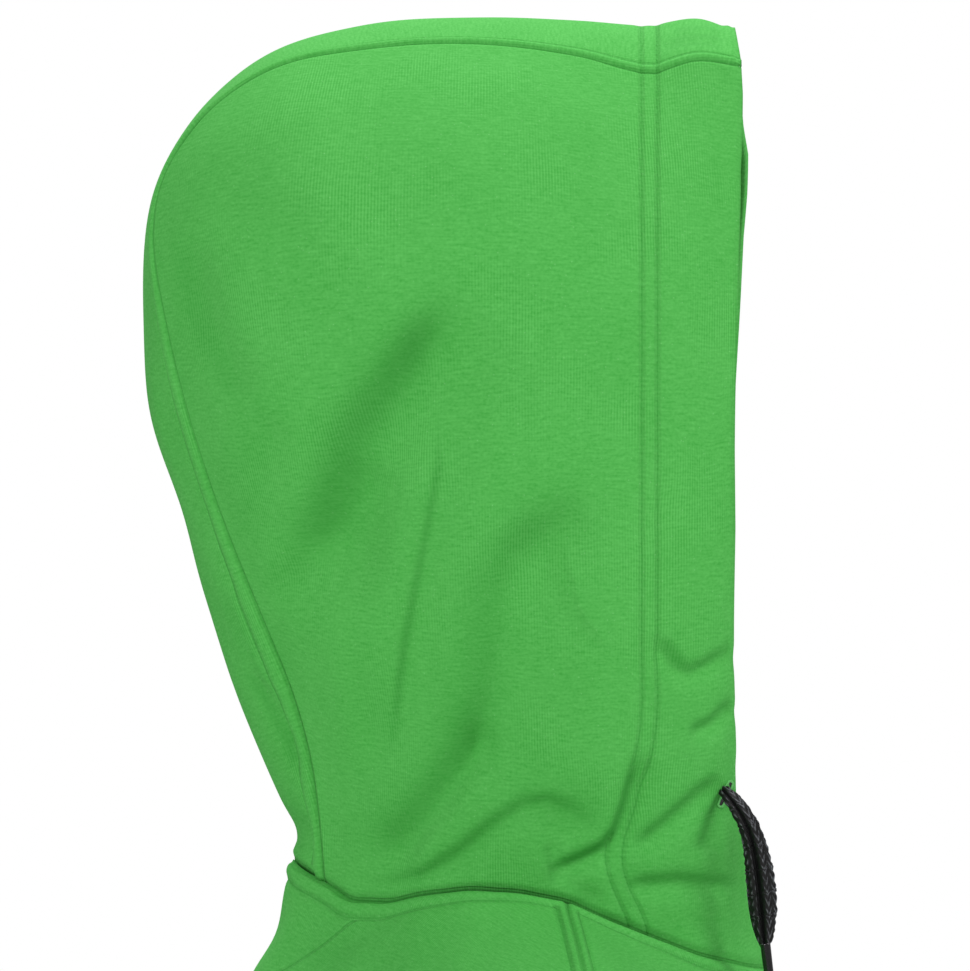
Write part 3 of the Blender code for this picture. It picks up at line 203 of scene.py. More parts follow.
@dataclass(frozen=True)
class KnitFleece:
    """Brushed cotton and polyester sweatshirt fleece, dyed through.

    Its face is a plain jersey: fine upright wales, short level slubs, a few pale fibres and almost
    no shine. Seams sink in, and lines of stitching of the same green run beside them.
    """

    name: str = "brushed_jersey_fleece"
    base: str = "48a847"
    pale: str = "5fbd5c"
    # The colour of the painted shade in the seams' grooves and on the folds' steep walls.
    painted_shade: str = "348c36"
    fibre: str = "97d893"
    sheen: str = "8fe08c"
    wale: float = 1.15 * MM
    course: float = 1.0 * MM
    slub: float = 6.0 * MM
    groove: float = 0.7 * MM
    stitch: float = 3.0 * MM
    seam: float = 1.3 * MM
    sink: float = 0.5 * MM
    thread: float = 0.2 * MM
    relief: float = 0.05 * MM
    shaded: float = 0.5
    # How dark the painted shade on a fold's steep wall is.
    painted_fold_shade: float = 0.52
    roughness: float = 0.92

    def build(self) -> Material:
        """Builds the material.

        Returns:
            The finished fleece.
        """
        material, shader, add = blank(self.name)
        cloth = add("UVMap", uv_map="Cloth")
        wales = self.wales(add, cloth)
        height, painted_shade = self.seams(add)
        # Painted shade: the colour is darkened on a fold's steep wall, as well as in the seams.
        nap = add("Attribute", out="Fac", attribute_name="nap")
        painted_fold_shade = add("Math", (nap, self.painted_fold_shade), operation="MULTIPLY")
        dark = add("Math", (painted_shade, painted_fold_shade), operation="MAXIMUM")
        dyed = self.dye(add, cloth, wales)
        total = add("Math", (wales, self.relief, height), operation="MULTIPLY_ADD")
        looks = {
            "Base Color": add("Mix", {0: dark, 6: dyed, 7: linear(self.painted_shade)}, **MIXED),
            "Normal": add("Bump", {"Height": total, "Distance": 1.0}),
            "Roughness": self.roughness,
            "Specular IOR Level": 0.08,
            "Sheen Weight": 0.03,
            "Sheen Roughness": 0.4,
            "Sheen Tint": linear(self.sheen),
        }
        fill(shader, looks)
        return material

    def wales(self, add: Adder, cloth: NodeSocket) -> NodeSocket:
        """Draws the knit's upright wales and fuzz, broken up by its uneven yarn.

        Args:
            add: Adds a node.
            cloth: The cloth's own coordinates, in metres.

        Returns:
            Their height, about 0 to 1.
        """
        drift = add("TexNoise", {"Vector": cloth, "Scale": 30.0, "Detail": 2.0})
        across = add("SeparateXYZ", (cloth,))
        turns = add("Math", (across, 2 * math.pi / self.wale), operation="MULTIPLY")
        phase = add("Math", (drift, 6.0, turns), operation="MULTIPLY_ADD")
        wave = add("Math", (phase,), operation="SINE")
        patch = add("TexNoise", {"Vector": cloth, "Scale": 22.0, "Detail": 1.0})
        shown = add("MapRange", (patch, 0.45, 0.65, 0.0, 0.26))
        fuzz = grain(add, cloth, self.wale / 0.9, self.course / 0.9, 4.0)
        return add("Math", (wave, shown, fuzz), operation="MULTIPLY_ADD")

    def dye(self, add: Adder, cloth: NodeSocket, wales: NodeSocket) -> NodeSocket:
        """Colours the cloth: level slubs, slow unevenness and a few pale fibres.

        Args:
            add: Adds a node.
            cloth: The cloth's own coordinates, in metres.
            wales: The wales' height.

        Returns:
            The colour.
        """
        slubs = grain(add, cloth, self.slub, self.course, 5.0)
        slow = add("TexNoise", {"Vector": cloth, "Scale": 26.0, "Detail": 4.0})
        both = add("Math", (slow, 0.4, slubs), operation="MULTIPLY_ADD")
        part = add("Math", (wales, both), operation="ADD")
        level = add("MapRange", (part, 0.87, 1.53))
        ground = add("Mix", {0: level, 6: linear(self.base), 7: linear(self.pale)}, **MIXED)
        dot = add("TexVoronoi", {"Vector": cloth, "Scale": 300.0}, out="Distance")
        speck = add("MapRange", (dot, 0.11, 0.05, 0.0, 0.25))
        return add("Mix", {0: speck, 6: ground, 7: linear(self.fibre)}, **MIXED)

    def seams(self, add: Adder) -> tuple[NodeSocket, NodeSocket]:
        """Draws the sewn edges and the stitching from the distances kept on the points.

        Args:
            add: Adds a node.

        Returns:
            The height in metres, and the painted shade of the grooves, which darkens the colour.
        """
        edge = add("Attribute", out="Fac", attribute_name="edge")
        height = add("MapRange", (edge, 0.0, self.seam, -self.sink, 0.0), **SMOOTHER)
        # Painted shade in the colour along the sewn edge and, below, along each stitch line.
        shade = add("MapRange", (edge, 0.0, self.groove, self.shaded, 0.0), **SMOOTH)
        lines = {"topstitch": (0.0,), "facing": (0.0,), "casing": (TWIN, -TWIN)}
        for name, aside in [(name, aside) for name, sides in lines.items() for aside in sides]:
            away = add("Attribute", out="Fac", attribute_name=name)
            along = add("Attribute", out="Fac", attribute_name=name + "_along")
            moved = add("Math", (away, aside), operation="SUBTRACT")
            near = add("Math", (moved,), operation="ABSOLUTE")
            depth = add("MapRange", (near, 0.0, 2.6 * self.groove, -self.sink, 0.0), **SMOOTHER)
            core = add("MapRange", (near, 0.0, 0.6 * self.groove, self.thread, 0.0), **SMOOTH)
            turns = add("Math", (along, 2 * math.pi / self.stitch), operation="MULTIPLY")
            pulse = add("Math", (turns,), operation="SINE")
            stitch = add("Math", (pulse, 0.0), operation="MAXIMUM")
            sewn = add("Math", (core, stitch, depth), operation="MULTIPLY_ADD")
            height = add("Math", (height, sewn), operation="ADD")
            dim = add("MapRange", (near, 0.0, self.groove, self.shaded, 0.0), **SMOOTH)
            shade = add("Math", (shade, dim), operation="MAXIMUM")
        return height, shade


@dataclass(frozen=True)
class RibKnit:
    """Two-by-two rib knit of cuffs and hem: firm, matt, with upright ribs, and painted shade in the
    gaps between them.
    """

    name: str = "rib_knit"
    crest: str = "58b657"
    # The colour of the painted shade between the ribs.
    rib_shade: str = "3c9640"
    rib: float = 3.4 * MM
    yarn: tuple[float, float] = (0.9 * MM, 0.7 * MM)
    relief: float = 0.55 * MM

    def build(self) -> Material:
        """Builds the material.

        Returns:
            The finished rib knit.
        """
        material, shader, add = blank(self.name)
        cloth = add("UVMap", uv_map="Cloth")
        across = add("SeparateXYZ", (cloth,))
        turns = add("Math", (across, 2 * math.pi / self.rib), operation="MULTIPLY")
        wave = add("Math", (turns,), operation="SINE")
        crest = add("MapRange", (wave, -0.9, 0.5), **SMOOTH)
        fuzz = grain(add, cloth, *self.yarn, 3.0)
        whole = add("Math", (fuzz, 0.25, crest), operation="MULTIPLY_ADD")
        height = add("Math", (whole, self.relief), operation="MULTIPLY")
        # Painted shade: the colour darkens from the ribs' crests into the gaps between them.
        level = add("MapRange", (whole, 0.1, 1.1))
        looks = {
            "Base Color": add(
                "Mix", {0: level, 6: linear(self.rib_shade), 7: linear(self.crest)}, **MIXED
            ),
            "Normal": add("Bump", {"Height": height, "Distance": 1.0}),
            "Roughness": 0.9,
            "Specular IOR Level": 0.25,
            "Sheen Weight": 0.1,
        }
        fill(shader, looks)
        return material


@dataclass(frozen=True)
class PolyesterBraid:
    """Tubular polyester drawcord, dyed black, with thin grey painted highlights on its plaited
    yarns.
    """

    name: str = "black_polyester_braid"
    dark: str = "050506"
    # The colour of the painted highlights.
    light: str = "707278"
    yarn: tuple[float, float] = (0.35 * MM, 1.4 * MM)
    relief: float = 0.12 * MM

    def build(self) -> Material:
        """Builds the material, with painted highlights on the crests of the plait.

        Returns:
            The finished braid.
        """
        material, shader, add = blank(self.name)
        crest = add("Attribute", out="Fac", attribute_name="crest")
        fuzz = grain(add, add("UVMap", uv_map="Cloth"), *self.yarn, 2.0)
        lit = add("Math", (crest, fuzz), operation="MULTIPLY")
        level = add("MapRange", (lit, 0.28, 0.6))
        height = add("Math", (fuzz, self.relief), operation="MULTIPLY")
        looks = {
            "Base Color": add(
                "Mix", {0: level, 6: linear(self.dark), 7: linear(self.light)}, **MIXED
            ),
            "Normal": add("Bump", {"Height": height, "Distance": 1.0}),
            "Roughness": 0.5,
            "Specular IOR Level": 0.3,
            "Sheen Weight": 0.04,
        }
        fill(shader, looks)
        return material


@dataclass(frozen=True)
class HardFinish:
    """A plain surface: moulded plastic, plated zinc, thread or board, with faint unevenness."""

    name: str
    colour: str
    other: str
    roughness: float
    metallic: float = 0.0
    coat: float = 0.0
    grain: float = 1.5 * MM
    uneven: float = 0.15

    def build(self) -> Material:
        """Builds the material.

        Returns:
            The finished surface.
        """
        material, shader, add = blank(self.name)
        place = add("TexCoord", out="Object")
        cloud = add("TexNoise", {"Vector": place, "Scale": 1 / self.grain, "Detail": 3.0})
        least, most = (self.roughness * (1 + hand * self.uneven) for hand in (-1, 1))
        looks = {
            "Base Color": add(
                "Mix", {0: cloud, 6: linear(self.colour), 7: linear(self.other)}, **MIXED
            ),
            "Roughness": add("MapRange", (cloud, 0.0, 1.0, least, most)),
            "Metallic": self.metallic,
            "Coat Weight": self.coat,
        }
        fill(shader, looks)
        return material


@dataclass
class Wardrobe:
    """All the hoodie's finishes, each built once."""

    fleece: Material = field(default_factory=KnitFleece().build)
    rib: Material = field(default_factory=RibKnit().build)
    braid: Material = field(default_factory=PolyesterBraid().build)
    # Glossy black tube shrunk on to the cord's end: soft broad lights along it.
    tip: Material = field(
        default_factory=HardFinish("heat_shrunk_tube", "0a0a0b", "141415", 0.24, coat=0.5).build
    )
    # Nickel-plated zinc casting: bright and slightly clouded.
    metal: Material = field(
        default_factory=HardFinish("nickel_plated_zinc", "b9b9ba", "a2a3a5", 0.28, 1.0).build
    )
    # Woven polyester zip tape: close, flat and matt.
    tape: Material = field(
        default_factory=HardFinish(
            "woven_zip_tape", "49a64b", "3d963f", 0.85, grain=0.8 * MM
        ).build
    )
    # Spun polyester thread: matt, a shade paler than the cloth.
    thread: Material = field(
        default_factory=HardFinish(
            "spun_sewing_thread", "6cc76b", "58b659", 0.8, grain=0.5 * MM
        ).build
    )
    # Matt white board under the garment.
    paper: Material = field(
        default_factory=HardFinish("matt_white_board", "f4f4f4", "f0f0f0", 0.9).build
    )


# ---------------------------------------------------------------- shapes


def new_piece(
    name: str, mesh: Mesh, finish: Material, node: str = "", body: str = "garment"
) -> Object:
    """Puts a mesh in the scene as a finished piece.

    Args:
        name: The piece's name.
        mesh: Its mesh, in the object's own frame.
        finish: Its material.
        node: The solid that it takes the place of, if any.
        body: The body that it moves with.

    Returns:
        The piece.
    """
    piece = bpy.data.objects.new(name, mesh)
    bpy.context.scene.collection.objects.link(piece)
    mesh.materials.clear()
    mesh.materials.append(finish)
    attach(piece, body)
    if node:
        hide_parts(node)
    LOG.info("%s: %d faces", name, len(mesh.polygons))
    return piece


def mesh_of(shape: bmesh.types.BMesh, name: str, smooth: bool = True) -> Mesh:
    """Turns a bmesh into a mesh and frees it.

    Args:
        shape: The bmesh.
        name: The mesh's name.
        smooth: Whether its faces are shaded smooth.

    Returns:
        The mesh.
    """
    mesh = bpy.data.meshes.new(name)
    shape.to_mesh(mesh)
    shape.free()
    if smooth:
        mesh.shade_smooth()
    return mesh


def bevel(shape: bmesh.types.BMesh, edges: list, width: float, segments: int) -> None:
    """Rounds or breaks edges.

    Args:
        shape: The bmesh.
        edges: Its edges to round.
        width: How much each face loses.
        segments: The round's steps; 1 is a flat break.
    """
    bmesh.ops.bevel(
        shape,
        geom=edges,
        offset=width,
        offset_type="OFFSET",
        segments=segments,
        profile=0.5,
        affect="EDGES",
        material=-1,
    )


def apply_modifiers(piece: Object) -> None:
    """Applies a piece's modifiers to its mesh.

    Args:
        piece: The piece.
    """
    graph = bpy.context.evaluated_depsgraph_get()
    made = bpy.data.meshes.new_from_object(
        piece.evaluated_get(graph), preserve_all_data_layers=True, depsgraph=graph
    )
    piece.modifiers.clear()
    old = piece.data
    made.name = old.name
    piece.data = made
    bpy.data.meshes.remove(old)


def read(items: bpy.types.bpy_prop_collection, name: str, wide: int, kind: type = float) -> Points:
    """Reads a property of many items.

    Args:
        items: The items, such as a mesh's vertices.
        name: The property.
        wide: How many numbers it has.
        kind: The numbers' type.

    Returns:
        Its values, one row for each item.
    """
    found = np.empty(len(items) * wide, kind)
    items.foreach_get(name, found)
    return found.reshape(-1, wide)


def points_of(mesh: Mesh) -> Points:
    """A mesh's points, one row each."""
    return read(mesh.vertices, "co", 3)


def smooth_share(value: Points) -> Points:
    """Eases from 0 to 1, with values outside held at the ends."""
    value = np.clip(value, 0, 1)
    return value * value * (3 - 2 * value)


def crown_lift(points: Points) -> Points:
    """How far the hood's crown rises towards its front edge, at each point, in metres."""
    ahead = smooth_share((-45 * MM - points[:, 1]) / (35 * MM))
    return CROWN_RISE * ahead * smooth_share((points[:, 2] - CROWN) / (30 * MM))


def bell(value: Points, wide: float | Points) -> Points:
    """A bell curve: 1 at 0, and 1/e where the value is as large as wide."""
    return np.exp(-((value / wide) ** 2))


@dataclass
class Beside:
    """Where points lie beside a line of points: how far off, on which hand, and how far along."""

    off: Points
    along: Points
    length: float

    @classmethod
    def of(cls, points: Points, chain: Points) -> Beside:
        """Measures points against a line.

        Args:
            points: The points, one row each.
            chain: The line's points in order. In two dimensions, off is above 0 on its left hand.

        Returns:
            The measures.
        """
        runs = np.diff(chain, axis=0)
        steps = np.maximum(np.linalg.norm(runs, axis=1), 1e-9)
        best = np.full(len(points), FAR)
        signed = np.full(len(points), FAR)
        along = np.zeros(len(points))
        before = 0.0
        for start, run, step in zip(chain, runs, steps):
            offset = points - start
            share = np.clip(offset @ run / step**2, 0, 1)
            away = np.linalg.norm(offset - share[:, None] * run, axis=1)
            hand = np.ones(len(points))
            if points.shape[1] == 2:
                hand = np.where(offset[:, 1] * run[0] > offset[:, 0] * run[1], 1.0, -1.0)
            nearer = away < best
            best[nearer] = away[nearer]
            signed[nearer] = (away * hand)[nearer]
            along[nearer] = before + share[nearer] * step
            before += step
        return cls(signed, along, before)


class View(Enum):
    """The side from which a fold is placed, and the way that it presses from."""

    RIGHT_SIDE = (-1, 0, 0)
    LEFT_SIDE = (1, 0, 0)
    FRONT = (0, -1, 0)
    BACK = (0, 1, 0)

    def flatten(self, points: Points) -> Points:
        """The points as seen: backward and up from a side, else out from the middle and up."""
        return points[:, [1, 2] if self in (View.RIGHT_SIDE, View.LEFT_SIDE) else [0, 2]]

    def faces(self, normals: Points) -> Points:
        """How far each normal turns to the viewer, from 0 to 1."""
        return smooth_share((normals @ np.array(self.value, float) + 0.2) / 0.4)


@dataclass(frozen=True)
class Crease:
    """A fold along a line in a flat view, in millimetres.

    depth is inwards, so a ridge's is negative. left and right are its half widths on either hand.
    """

    path: tuple[tuple[float, float], ...]
    left: float
    right: float
    depth: float
    view: View = View.RIGHT_SIDE
    ends: ClassVar[float] = 0.22  # the share of its length that each end fades over
    flattest: ClassVar[float] = 1.2

    def moved(self, view: View, shift: tuple[float, float], share: float) -> Crease:
        """The same fold a little elsewhere.

        Args:
            view: The side that it is on.
            shift: How far it is moved in the flat view, in millimetres.
            share: Its depth over this fold's.

        Returns:
            The new fold.
        """
        path = tuple((a + shift[0], b + shift[1]) for a, b in self.path)
        return Crease(path, self.left, self.right, self.depth * share, view)

    def mirrored(self) -> Crease:
        """The same fold on the other side of the middle, in a view from the front or back."""
        path = tuple((-a, b) for a, b in self.path)
        return Crease(path, self.right, self.left, self.depth, self.view)

    def press(self, points: Points, normals: Points) -> tuple[Points, Points]:
        """Works out how far this fold presses each point inwards, and where it gets painted shade.

        Args:
            points: The points, in metres.
            normals: Their normals.

        Returns:
            The depth at each point, in metres, and the share of painted shade on the steep wall.
        """
        beside = Beside.of(self.view.flatten(points), np.array(self.path) * MM)
        wide = np.where(beside.off > 0, self.left, self.right) * MM
        share = beside.along / beside.length
        fade = smooth_share(share / self.ends) * smooth_share((1 - share) / self.ends)
        fade = fade * self.view.faces(normals)
        depth = self.depth * MM * fade * bell(beside.off, wide)
        # The steepest place of the bell is about 0.7 of its half width out, with this slope.
        steep = min(0.86 * abs(self.depth) / self.left, self.flattest)
        return depth, steep * fade * bell(beside.off / (self.left * MM) - 0.7, 0.8)


def creases(*rows: tuple, view: View = View.RIGHT_SIDE) -> tuple[Crease, ...]:
    """Makes folds from rows of points, each ending in its half widths and its depth."""
    return tuple(Crease(tuple(path), *sizes, view) for *path, sizes in rows)


def sides_of(mesh: Mesh, turn: float = 35.0) -> list[Points]:
    """Walks round a sheet's open edges.

    Args:
        mesh: The sheet.
        turn: A side ends where its edge turns by more than this, in degrees.

    Returns:
        Its sides, or a tube's two rims, each a line of points.
    """
    shape = bmesh.new()
    shape.from_mesh(mesh)
    # Dictionaries keep their order, so that each run walks the same way.
    rim = dict.fromkeys(edge for edge in shape.edges if edge.is_boundary)
    corners = {}
    for vert in shape.verts:
        ends = [e.other_vert(vert).co - vert.co for e in vert.link_edges if e in rim]
        if len(ends) == 2 and math.degrees(ends[0].angle(-ends[1], 0.0)) > turn:
            corners[vert] = None
    sides = []
    while rim:
        start = next((v for v in corners if any(e in rim for e in v.link_edges)), None)
        line = [start or next(iter(rim)).verts[0]]
        while True:
            ways = [edge for edge in line[-1].link_edges if edge in rim]
            if not ways:
                break
            del rim[ways[0]]
            line.append(ways[0].other_vert(line[-1]))
            if line[-1] in corners:
                break
        sides.append(np.array([v.co[:] for v in line]))
    shape.free()
    return sides


@dataclass
class Sewing:
    """A piece's sewn edges and stitch lines, as distances at each of its points."""

    points: Points
    edge: Points = field(init=False)
    ridge: Points = field(init=False)
    roll: Points = field(init=False)
    reach: Points = field(init=False)
    # Painted shade on the folds' steep walls.
    nap: Points = field(init=False)
    lines: dict[str, Points] = field(init=False)

    def __post_init__(self) -> None:
        """Starts with nothing sewn."""
        count = len(self.points)
        self.edge = np.full(count, FAR)
        self.ridge, self.roll, self.reach, self.nap = np.zeros((4, count))
        self.lines = {}
        for name in ("topstitch", "facing", "casing"):
            self.lines[name] = np.full(count, FAR)
            self.lines[name + "_along"] = np.zeros(count)

    def fold(self, off: Points, lie: Lie) -> None:
        """Rolls an edge inwards and carries it to its neighbour.

        Args:
            off: Each point's distance from the edge.
            lie: How the edge lies.
        """
        roll, wide, reach = (size * MM for size in lie.value)
        self.roll = np.maximum(self.roll, roll * (1 - smooth_share(off / wide)))
        self.reach[off < 0.05 * MM] = reach

    def seam(
        self,
        side: Points,
        inset: float | Points | None = None,
        raised: float = 0.16,
        lie: Lie = Lie.LEVEL,
    ) -> None:
        """Sews along a side.

        Args:
            side: The side's points.
            inset: How far the topstitching runs inside it, also point by point; None for none.
            raised: The height of the folded seam allowance, over the inset.
            lie: How the edge lies against its neighbour.
        """
        if len(side) < 2:
            return
        beside = Beside.of(self.points, side)
        self.edge = np.minimum(self.edge, beside.off)
        self.fold(beside.off, lie)
        if inset is None:
            return
        nearer = beside.off - inset < self.lines["topstitch"]
        self.lines["topstitch"][nearer] = (beside.off - inset)[nearer]
        self.lines["topstitch_along"][nearer] = beside.along[nearer]
        bump = np.sin(np.pi * np.clip(beside.off / inset, 0, 1)) ** 0.8
        self.ridge = np.maximum(self.ridge, bump * inset * raised)

    def keep(self, mesh: Mesh) -> None:
        """Keeps the distances and the painted fold shade on a mesh's points.

        Args:
            mesh: The mesh.
        """
        for name, values in {"edge": self.edge, "nap": self.nap, **self.lines}.items():
            layer = mesh.attributes.new(name, "FLOAT", "POINT")
            layer.data.foreach_set("value", np.asarray(values, np.float32))


@dataclass
class ClothPiece:
    """A cut piece of cloth, made as a thin fine shell on its solid's outer face."""

    node: str
    finish: Material
    flat: tuple[float, float]
    area: float
    rests_on: tuple[str, ...]
    creases: tuple[Crease, ...] = ()
    wall: float = 1.7 * MM
    levels: int = 3
    ring: float = 4.5 * MM
    rim: float = 4.2 * MM  # an edge across the solid's wall is shorter
    held: Held = Held.DRAPED
    tube: bool = False
    stiff: ClassVar[float] = 8 * MM  # a fold dies out this near to a seam
    left_over: ClassVar[float] = 0.15  # the share of its depth that it has at the seam
    topstitch: ClassVar[tuple[float, float]] = (0.45 * MM, 1.6 * MM)  # the dent's depth and width
    twin: ClassVar[tuple[float, float]] = (0.35 * MM, 1.8 * MM)
    room: ClassVar[float] = 0.3  # of its shortest edge, which no point is moved beyond
    rounds: ClassVar[int] = 3
    pace: ClassVar[float] = 0.9  # of the way in each round
    upper: ClassVar[float] = 0.25  # the points this near to a tube's top are its upper rim

    def build(self) -> Object:
        """Builds the piece and puts it in place of its solid.

        Returns:
            The piece.
        """
        shape = self.outer_face()
        name = self.node + "_cloth"
        piece = new_piece(name, mesh_of(shape, name), self.finish, self.node)
        self.unfold(piece)
        divide = piece.modifiers.new("divide", "SUBSURF")
        divide.levels = divide.render_levels = self.levels
        divide.boundary_smooth = "PRESERVE_CORNERS"
        self.fit(piece)
        apply_modifiers(piece)
        self.shape_cloth(piece.data)
        self.thicken(piece)
        LOG.info("%s finished: %d faces", piece.name, len(piece.data.polygons))
        return piece

    def outer_face(self) -> bmesh.types.BMesh:
        """Takes the outer face of the solid's wall, in four-sided faces with a narrow ring round.

        A face at the wall's rim has an edge as short as the wall is thick. Without those the wall
        falls into its two faces, and the outer one faces most away from the middle of the hollow.

        Returns:
            The open sheet or tube.
        """
        shape = bmesh.new()
        shape.from_mesh(bpy.data.objects[self.node].data)
        bmesh.ops.remove_doubles(shape, verts=shape.verts, dist=0.02 * MM)
        shape.faces.index_update()
        left = {f for f in shape.faces if min(e.calc_length() for e in f.edges) > self.rim}
        regions: list[set] = []
        while left:
            region = {left.pop()}
            front = list(region)
            while front:
                near = {face for edge in front.pop().edges for face in edge.link_faces} & left
                left -= near
                region |= near
                front.extend(near)
            regions.append(region)
        spots = points_of(bpy.data.objects[self.node].data)
        inside = Vector((spots.min(axis=0) + spots.max(axis=0)) / 2)
        if not self.tube:
            inside.xy = BODY_AXIS
        outer = max(
            regions,
            key=lambda faces: sum(
                face.calc_area() * face.normal.dot(face.calc_center_median() - inside)
                for face in faces
            ),
        )
        if self.ring:
            self.mend_rim(outer)
        waste = [face for face in shape.faces if face not in outer]
        bmesh.ops.delete(shape, geom=waste, context="FACES")
        bmesh.ops.join_triangles(
            shape,
            faces=shape.faces,
            angle_face_threshold=CURVED,
            angle_shape_threshold=SLANTED,
        )
        corner = shape.verts.layers.float.new("crease_vert")
        for vert in shape.verts:
            ends = [e.other_vert(vert).co - vert.co for e in vert.link_edges if e.is_boundary]
            if len(ends) == 2 and ends[0].angle(-ends[1], 0.0) > SHARP:
                vert[corner] = 1.0
        if self.ring:
            bmesh.ops.inset_region(
                shape,
                faces=shape.faces,
                thickness=self.ring,
                use_boundary=True,
                use_even_offset=True,
            )
        return shape

    @staticmethod
    def mend_rim(outer: set) -> None:
        """Takes slivers that stand across the wall's rim out, and bends the face beside to the rim.

        Args:
            outer: The outer face's faces, of which the slivers are taken out.
        """
        for face in sorted(outer, key=lambda face: face.index):
            joined = [edge for edge in face.edges if set(edge.link_faces) <= outer]
            if len(joined) != 1 or joined[0].calc_face_angle() < SHARP:
                continue
            spot = next(v for v in face.verts if v not in joined[0].verts).co.copy()
            outer.discard(face)
            bmesh.utils.edge_split(joined[0], joined[0].verts[0], 0.5)[1].co = spot

    def fit(self, piece: Object) -> None:
        """Moves the undivided points until the divided face runs through where they were.

        Args:
            piece: The sheet or tube, with its dividing modifier.
        """
        aim = points_of(piece.data)
        first, second = read(piece.data.edges, "vertices", 2, np.int32).T
        spans = np.linalg.norm(aim[first] - aim[second], axis=1)
        most = np.full(len(aim), FAR)
        for ends in (first, second):
            np.minimum.at(most, ends, self.room * spans)
        moved = np.zeros_like(aim)
        for _ in range(self.rounds):
            divided = piece.evaluated_get(bpy.context.evaluated_depsgraph_get())
            moved += self.pace * (aim - points_of(divided.to_mesh())[: len(aim)])
            divided.to_mesh_clear()
            size = np.maximum(np.linalg.norm(moved, axis=1), 1e-9)
            moved *= np.minimum(1.0, most / size)[:, None]
            piece.data.vertices.foreach_set("co", (aim + moved).ravel())
            piece.data.update()

    def unfold(self, piece: Object) -> None:
        """Lays the piece flat in its UV map, in metres, with the wales upright.

        Args:
            piece: The undivided sheet or tube.
        """
        mesh = piece.data
        if self.tube:
            self.cut_open(mesh)
        while mesh.uv_layers:
            mesh.uv_layers.remove(mesh.uv_layers[0])
        mesh.uv_layers.new(name="Cloth")
        bpy.ops.object.select_all(action="DESELECT")
        bpy.context.view_layer.objects.active = piece
        piece.select_set(True)
        bpy.ops.object.mode_set(mode="EDIT")
        bpy.ops.mesh.select_all(action="SELECT")
        bpy.ops.uv.unwrap(method="ANGLE_BASED", margin=0.0)
        bpy.ops.object.mode_set(mode="OBJECT")
        piece.select_set(False)
        layer = mesh.uv_layers["Cloth"]
        flat = read(layer.uv, "vector", 2)
        spots = points_of(mesh)[read(mesh.loops, "vertex_index", 1, np.int32)[:, 0]]
        nexts = np.arange(1, len(flat) + 1)
        for face in mesh.polygons:
            nexts[face.loop_start + face.loop_total - 1] = face.loop_start
        size = np.linalg.norm(spots[nexts] - spots, axis=1).sum()
        flat_size = np.linalg.norm(flat[nexts] - flat, axis=1).sum()
        flat = (flat - flat.mean(axis=0)) * size / flat_size
        rise = np.linalg.lstsq(flat, spots[:, 2] - spots[:, 2].mean(), rcond=None)[0]
        turn = math.atan2(rise[0], rise[1])
        spin = np.array([[math.cos(turn), math.sin(turn)], [-math.sin(turn), math.cos(turn)]])
        layer.uv.foreach_set("vector", (flat @ spin).ravel())

    def cut_open(self, mesh: Mesh) -> None:
        """Marks the tube's inner seam, along which it is laid flat.

        Args:
            mesh: The undivided tube.
        """
        shape = bmesh.new()
        shape.from_mesh(mesh)
        rim = [v for v in shape.verts if v.is_boundary]
        top = max(v.co.z for v in rim)
        upper = [v for v in rim if abs(v.co.z - top) < self.upper]
        here = min(upper, key=lambda v: abs(v.co.x) + v.co.z)
        edge = next((e for e in here.link_edges if not e.is_boundary), None)
        while edge:
            edge.seam = True
            here = edge.other_vert(here)
            faces = set(edge.link_faces)
            edge = next((e for e in here.link_edges if not faces & set(e.link_faces)), None)
        shape.to_mesh(mesh)
        shape.free()

    def sew(self, sewing: Sewing, sides: list[Points]) -> None:
        """Sews this piece's edges.

        Args:
            sewing: Takes the seams and stitch lines.
            sides: The piece's sides.
        """
        for side in sides:
            sewing.seam(side, ALLOWANCE)

    def pulls(self, points: Points) -> Points:
        """How far each point of the divided sheet is drawn aside in the cloth, in metres."""
        return np.zeros_like(points)

    def shape_cloth(self, mesh: Mesh) -> None:
        """Sews the edges, presses the folds in and rolls the edges.

        Args:
            mesh: The divided sheet.
        """
        points = points_of(mesh)
        sides = sides_of(mesh)
        sewing = Sewing(points)
        self.sew(sewing, sides)
        normals = read(mesh.vertices, "normal", 3)
        depth = np.zeros(len(points))
        for fold in self.creases:
            pressed, flat = fold.press(points, normals)
            depth += pressed
            # Painted shade on each fold's steep wall, kept for the colour.
            sewing.nap = np.maximum(sewing.nap, flat)
        sewing.keep(mesh)
        kept = self.left_over
        depth *= kept + (1 - kept) * smooth_share(sewing.edge / self.stiff)
        depth += sewing.roll - sewing.ridge
        dent, wide = self.topstitch
        depth += dent * bell(sewing.lines["topstitch"], wide)
        dent, wide = self.twin
        for aside in (-TWIN, TWIN):
            depth += dent * bell(sewing.lines["casing"] + aside, wide)
        moved = points - normals * depth[:, None] + self.pulls(points)
        moved += self.outward(mesh, points) * sewing.reach[:, None]
        mesh.vertices.foreach_set("co", moved.ravel())
        mesh.update()

    def outward(self, mesh: Mesh, points: Points) -> Points:
        """The ways out of the piece at its open edges, so that sewn pieces can meet.

        Args:
            mesh: The divided sheet.
            points: Its points.

        Returns:
            A unit way at each edge point, and nothing elsewhere.
        """
        shape = bmesh.new()
        shape.from_mesh(mesh)
        ways = np.zeros_like(points)
        for edge in shape.edges:
            if not edge.is_boundary:
                continue
            first, second = edge.verts
            run = (second.co - first.co).normalized()
            out = (first.co + second.co) / 2 - edge.link_faces[0].calc_center_median()
            out -= run * out.dot(run)
            for vert in edge.verts:
                ways[vert.index] += np.array(out.normalized())
        shape.free()
        sizes = np.linalg.norm(ways, axis=1)
        ways[sizes > 0] /= sizes[sizes > 0][:, None]
        return ways

    def weights(self, points: Points) -> Points | None:
        """Each point's share of the wall; None where the wall is even."""
        return None

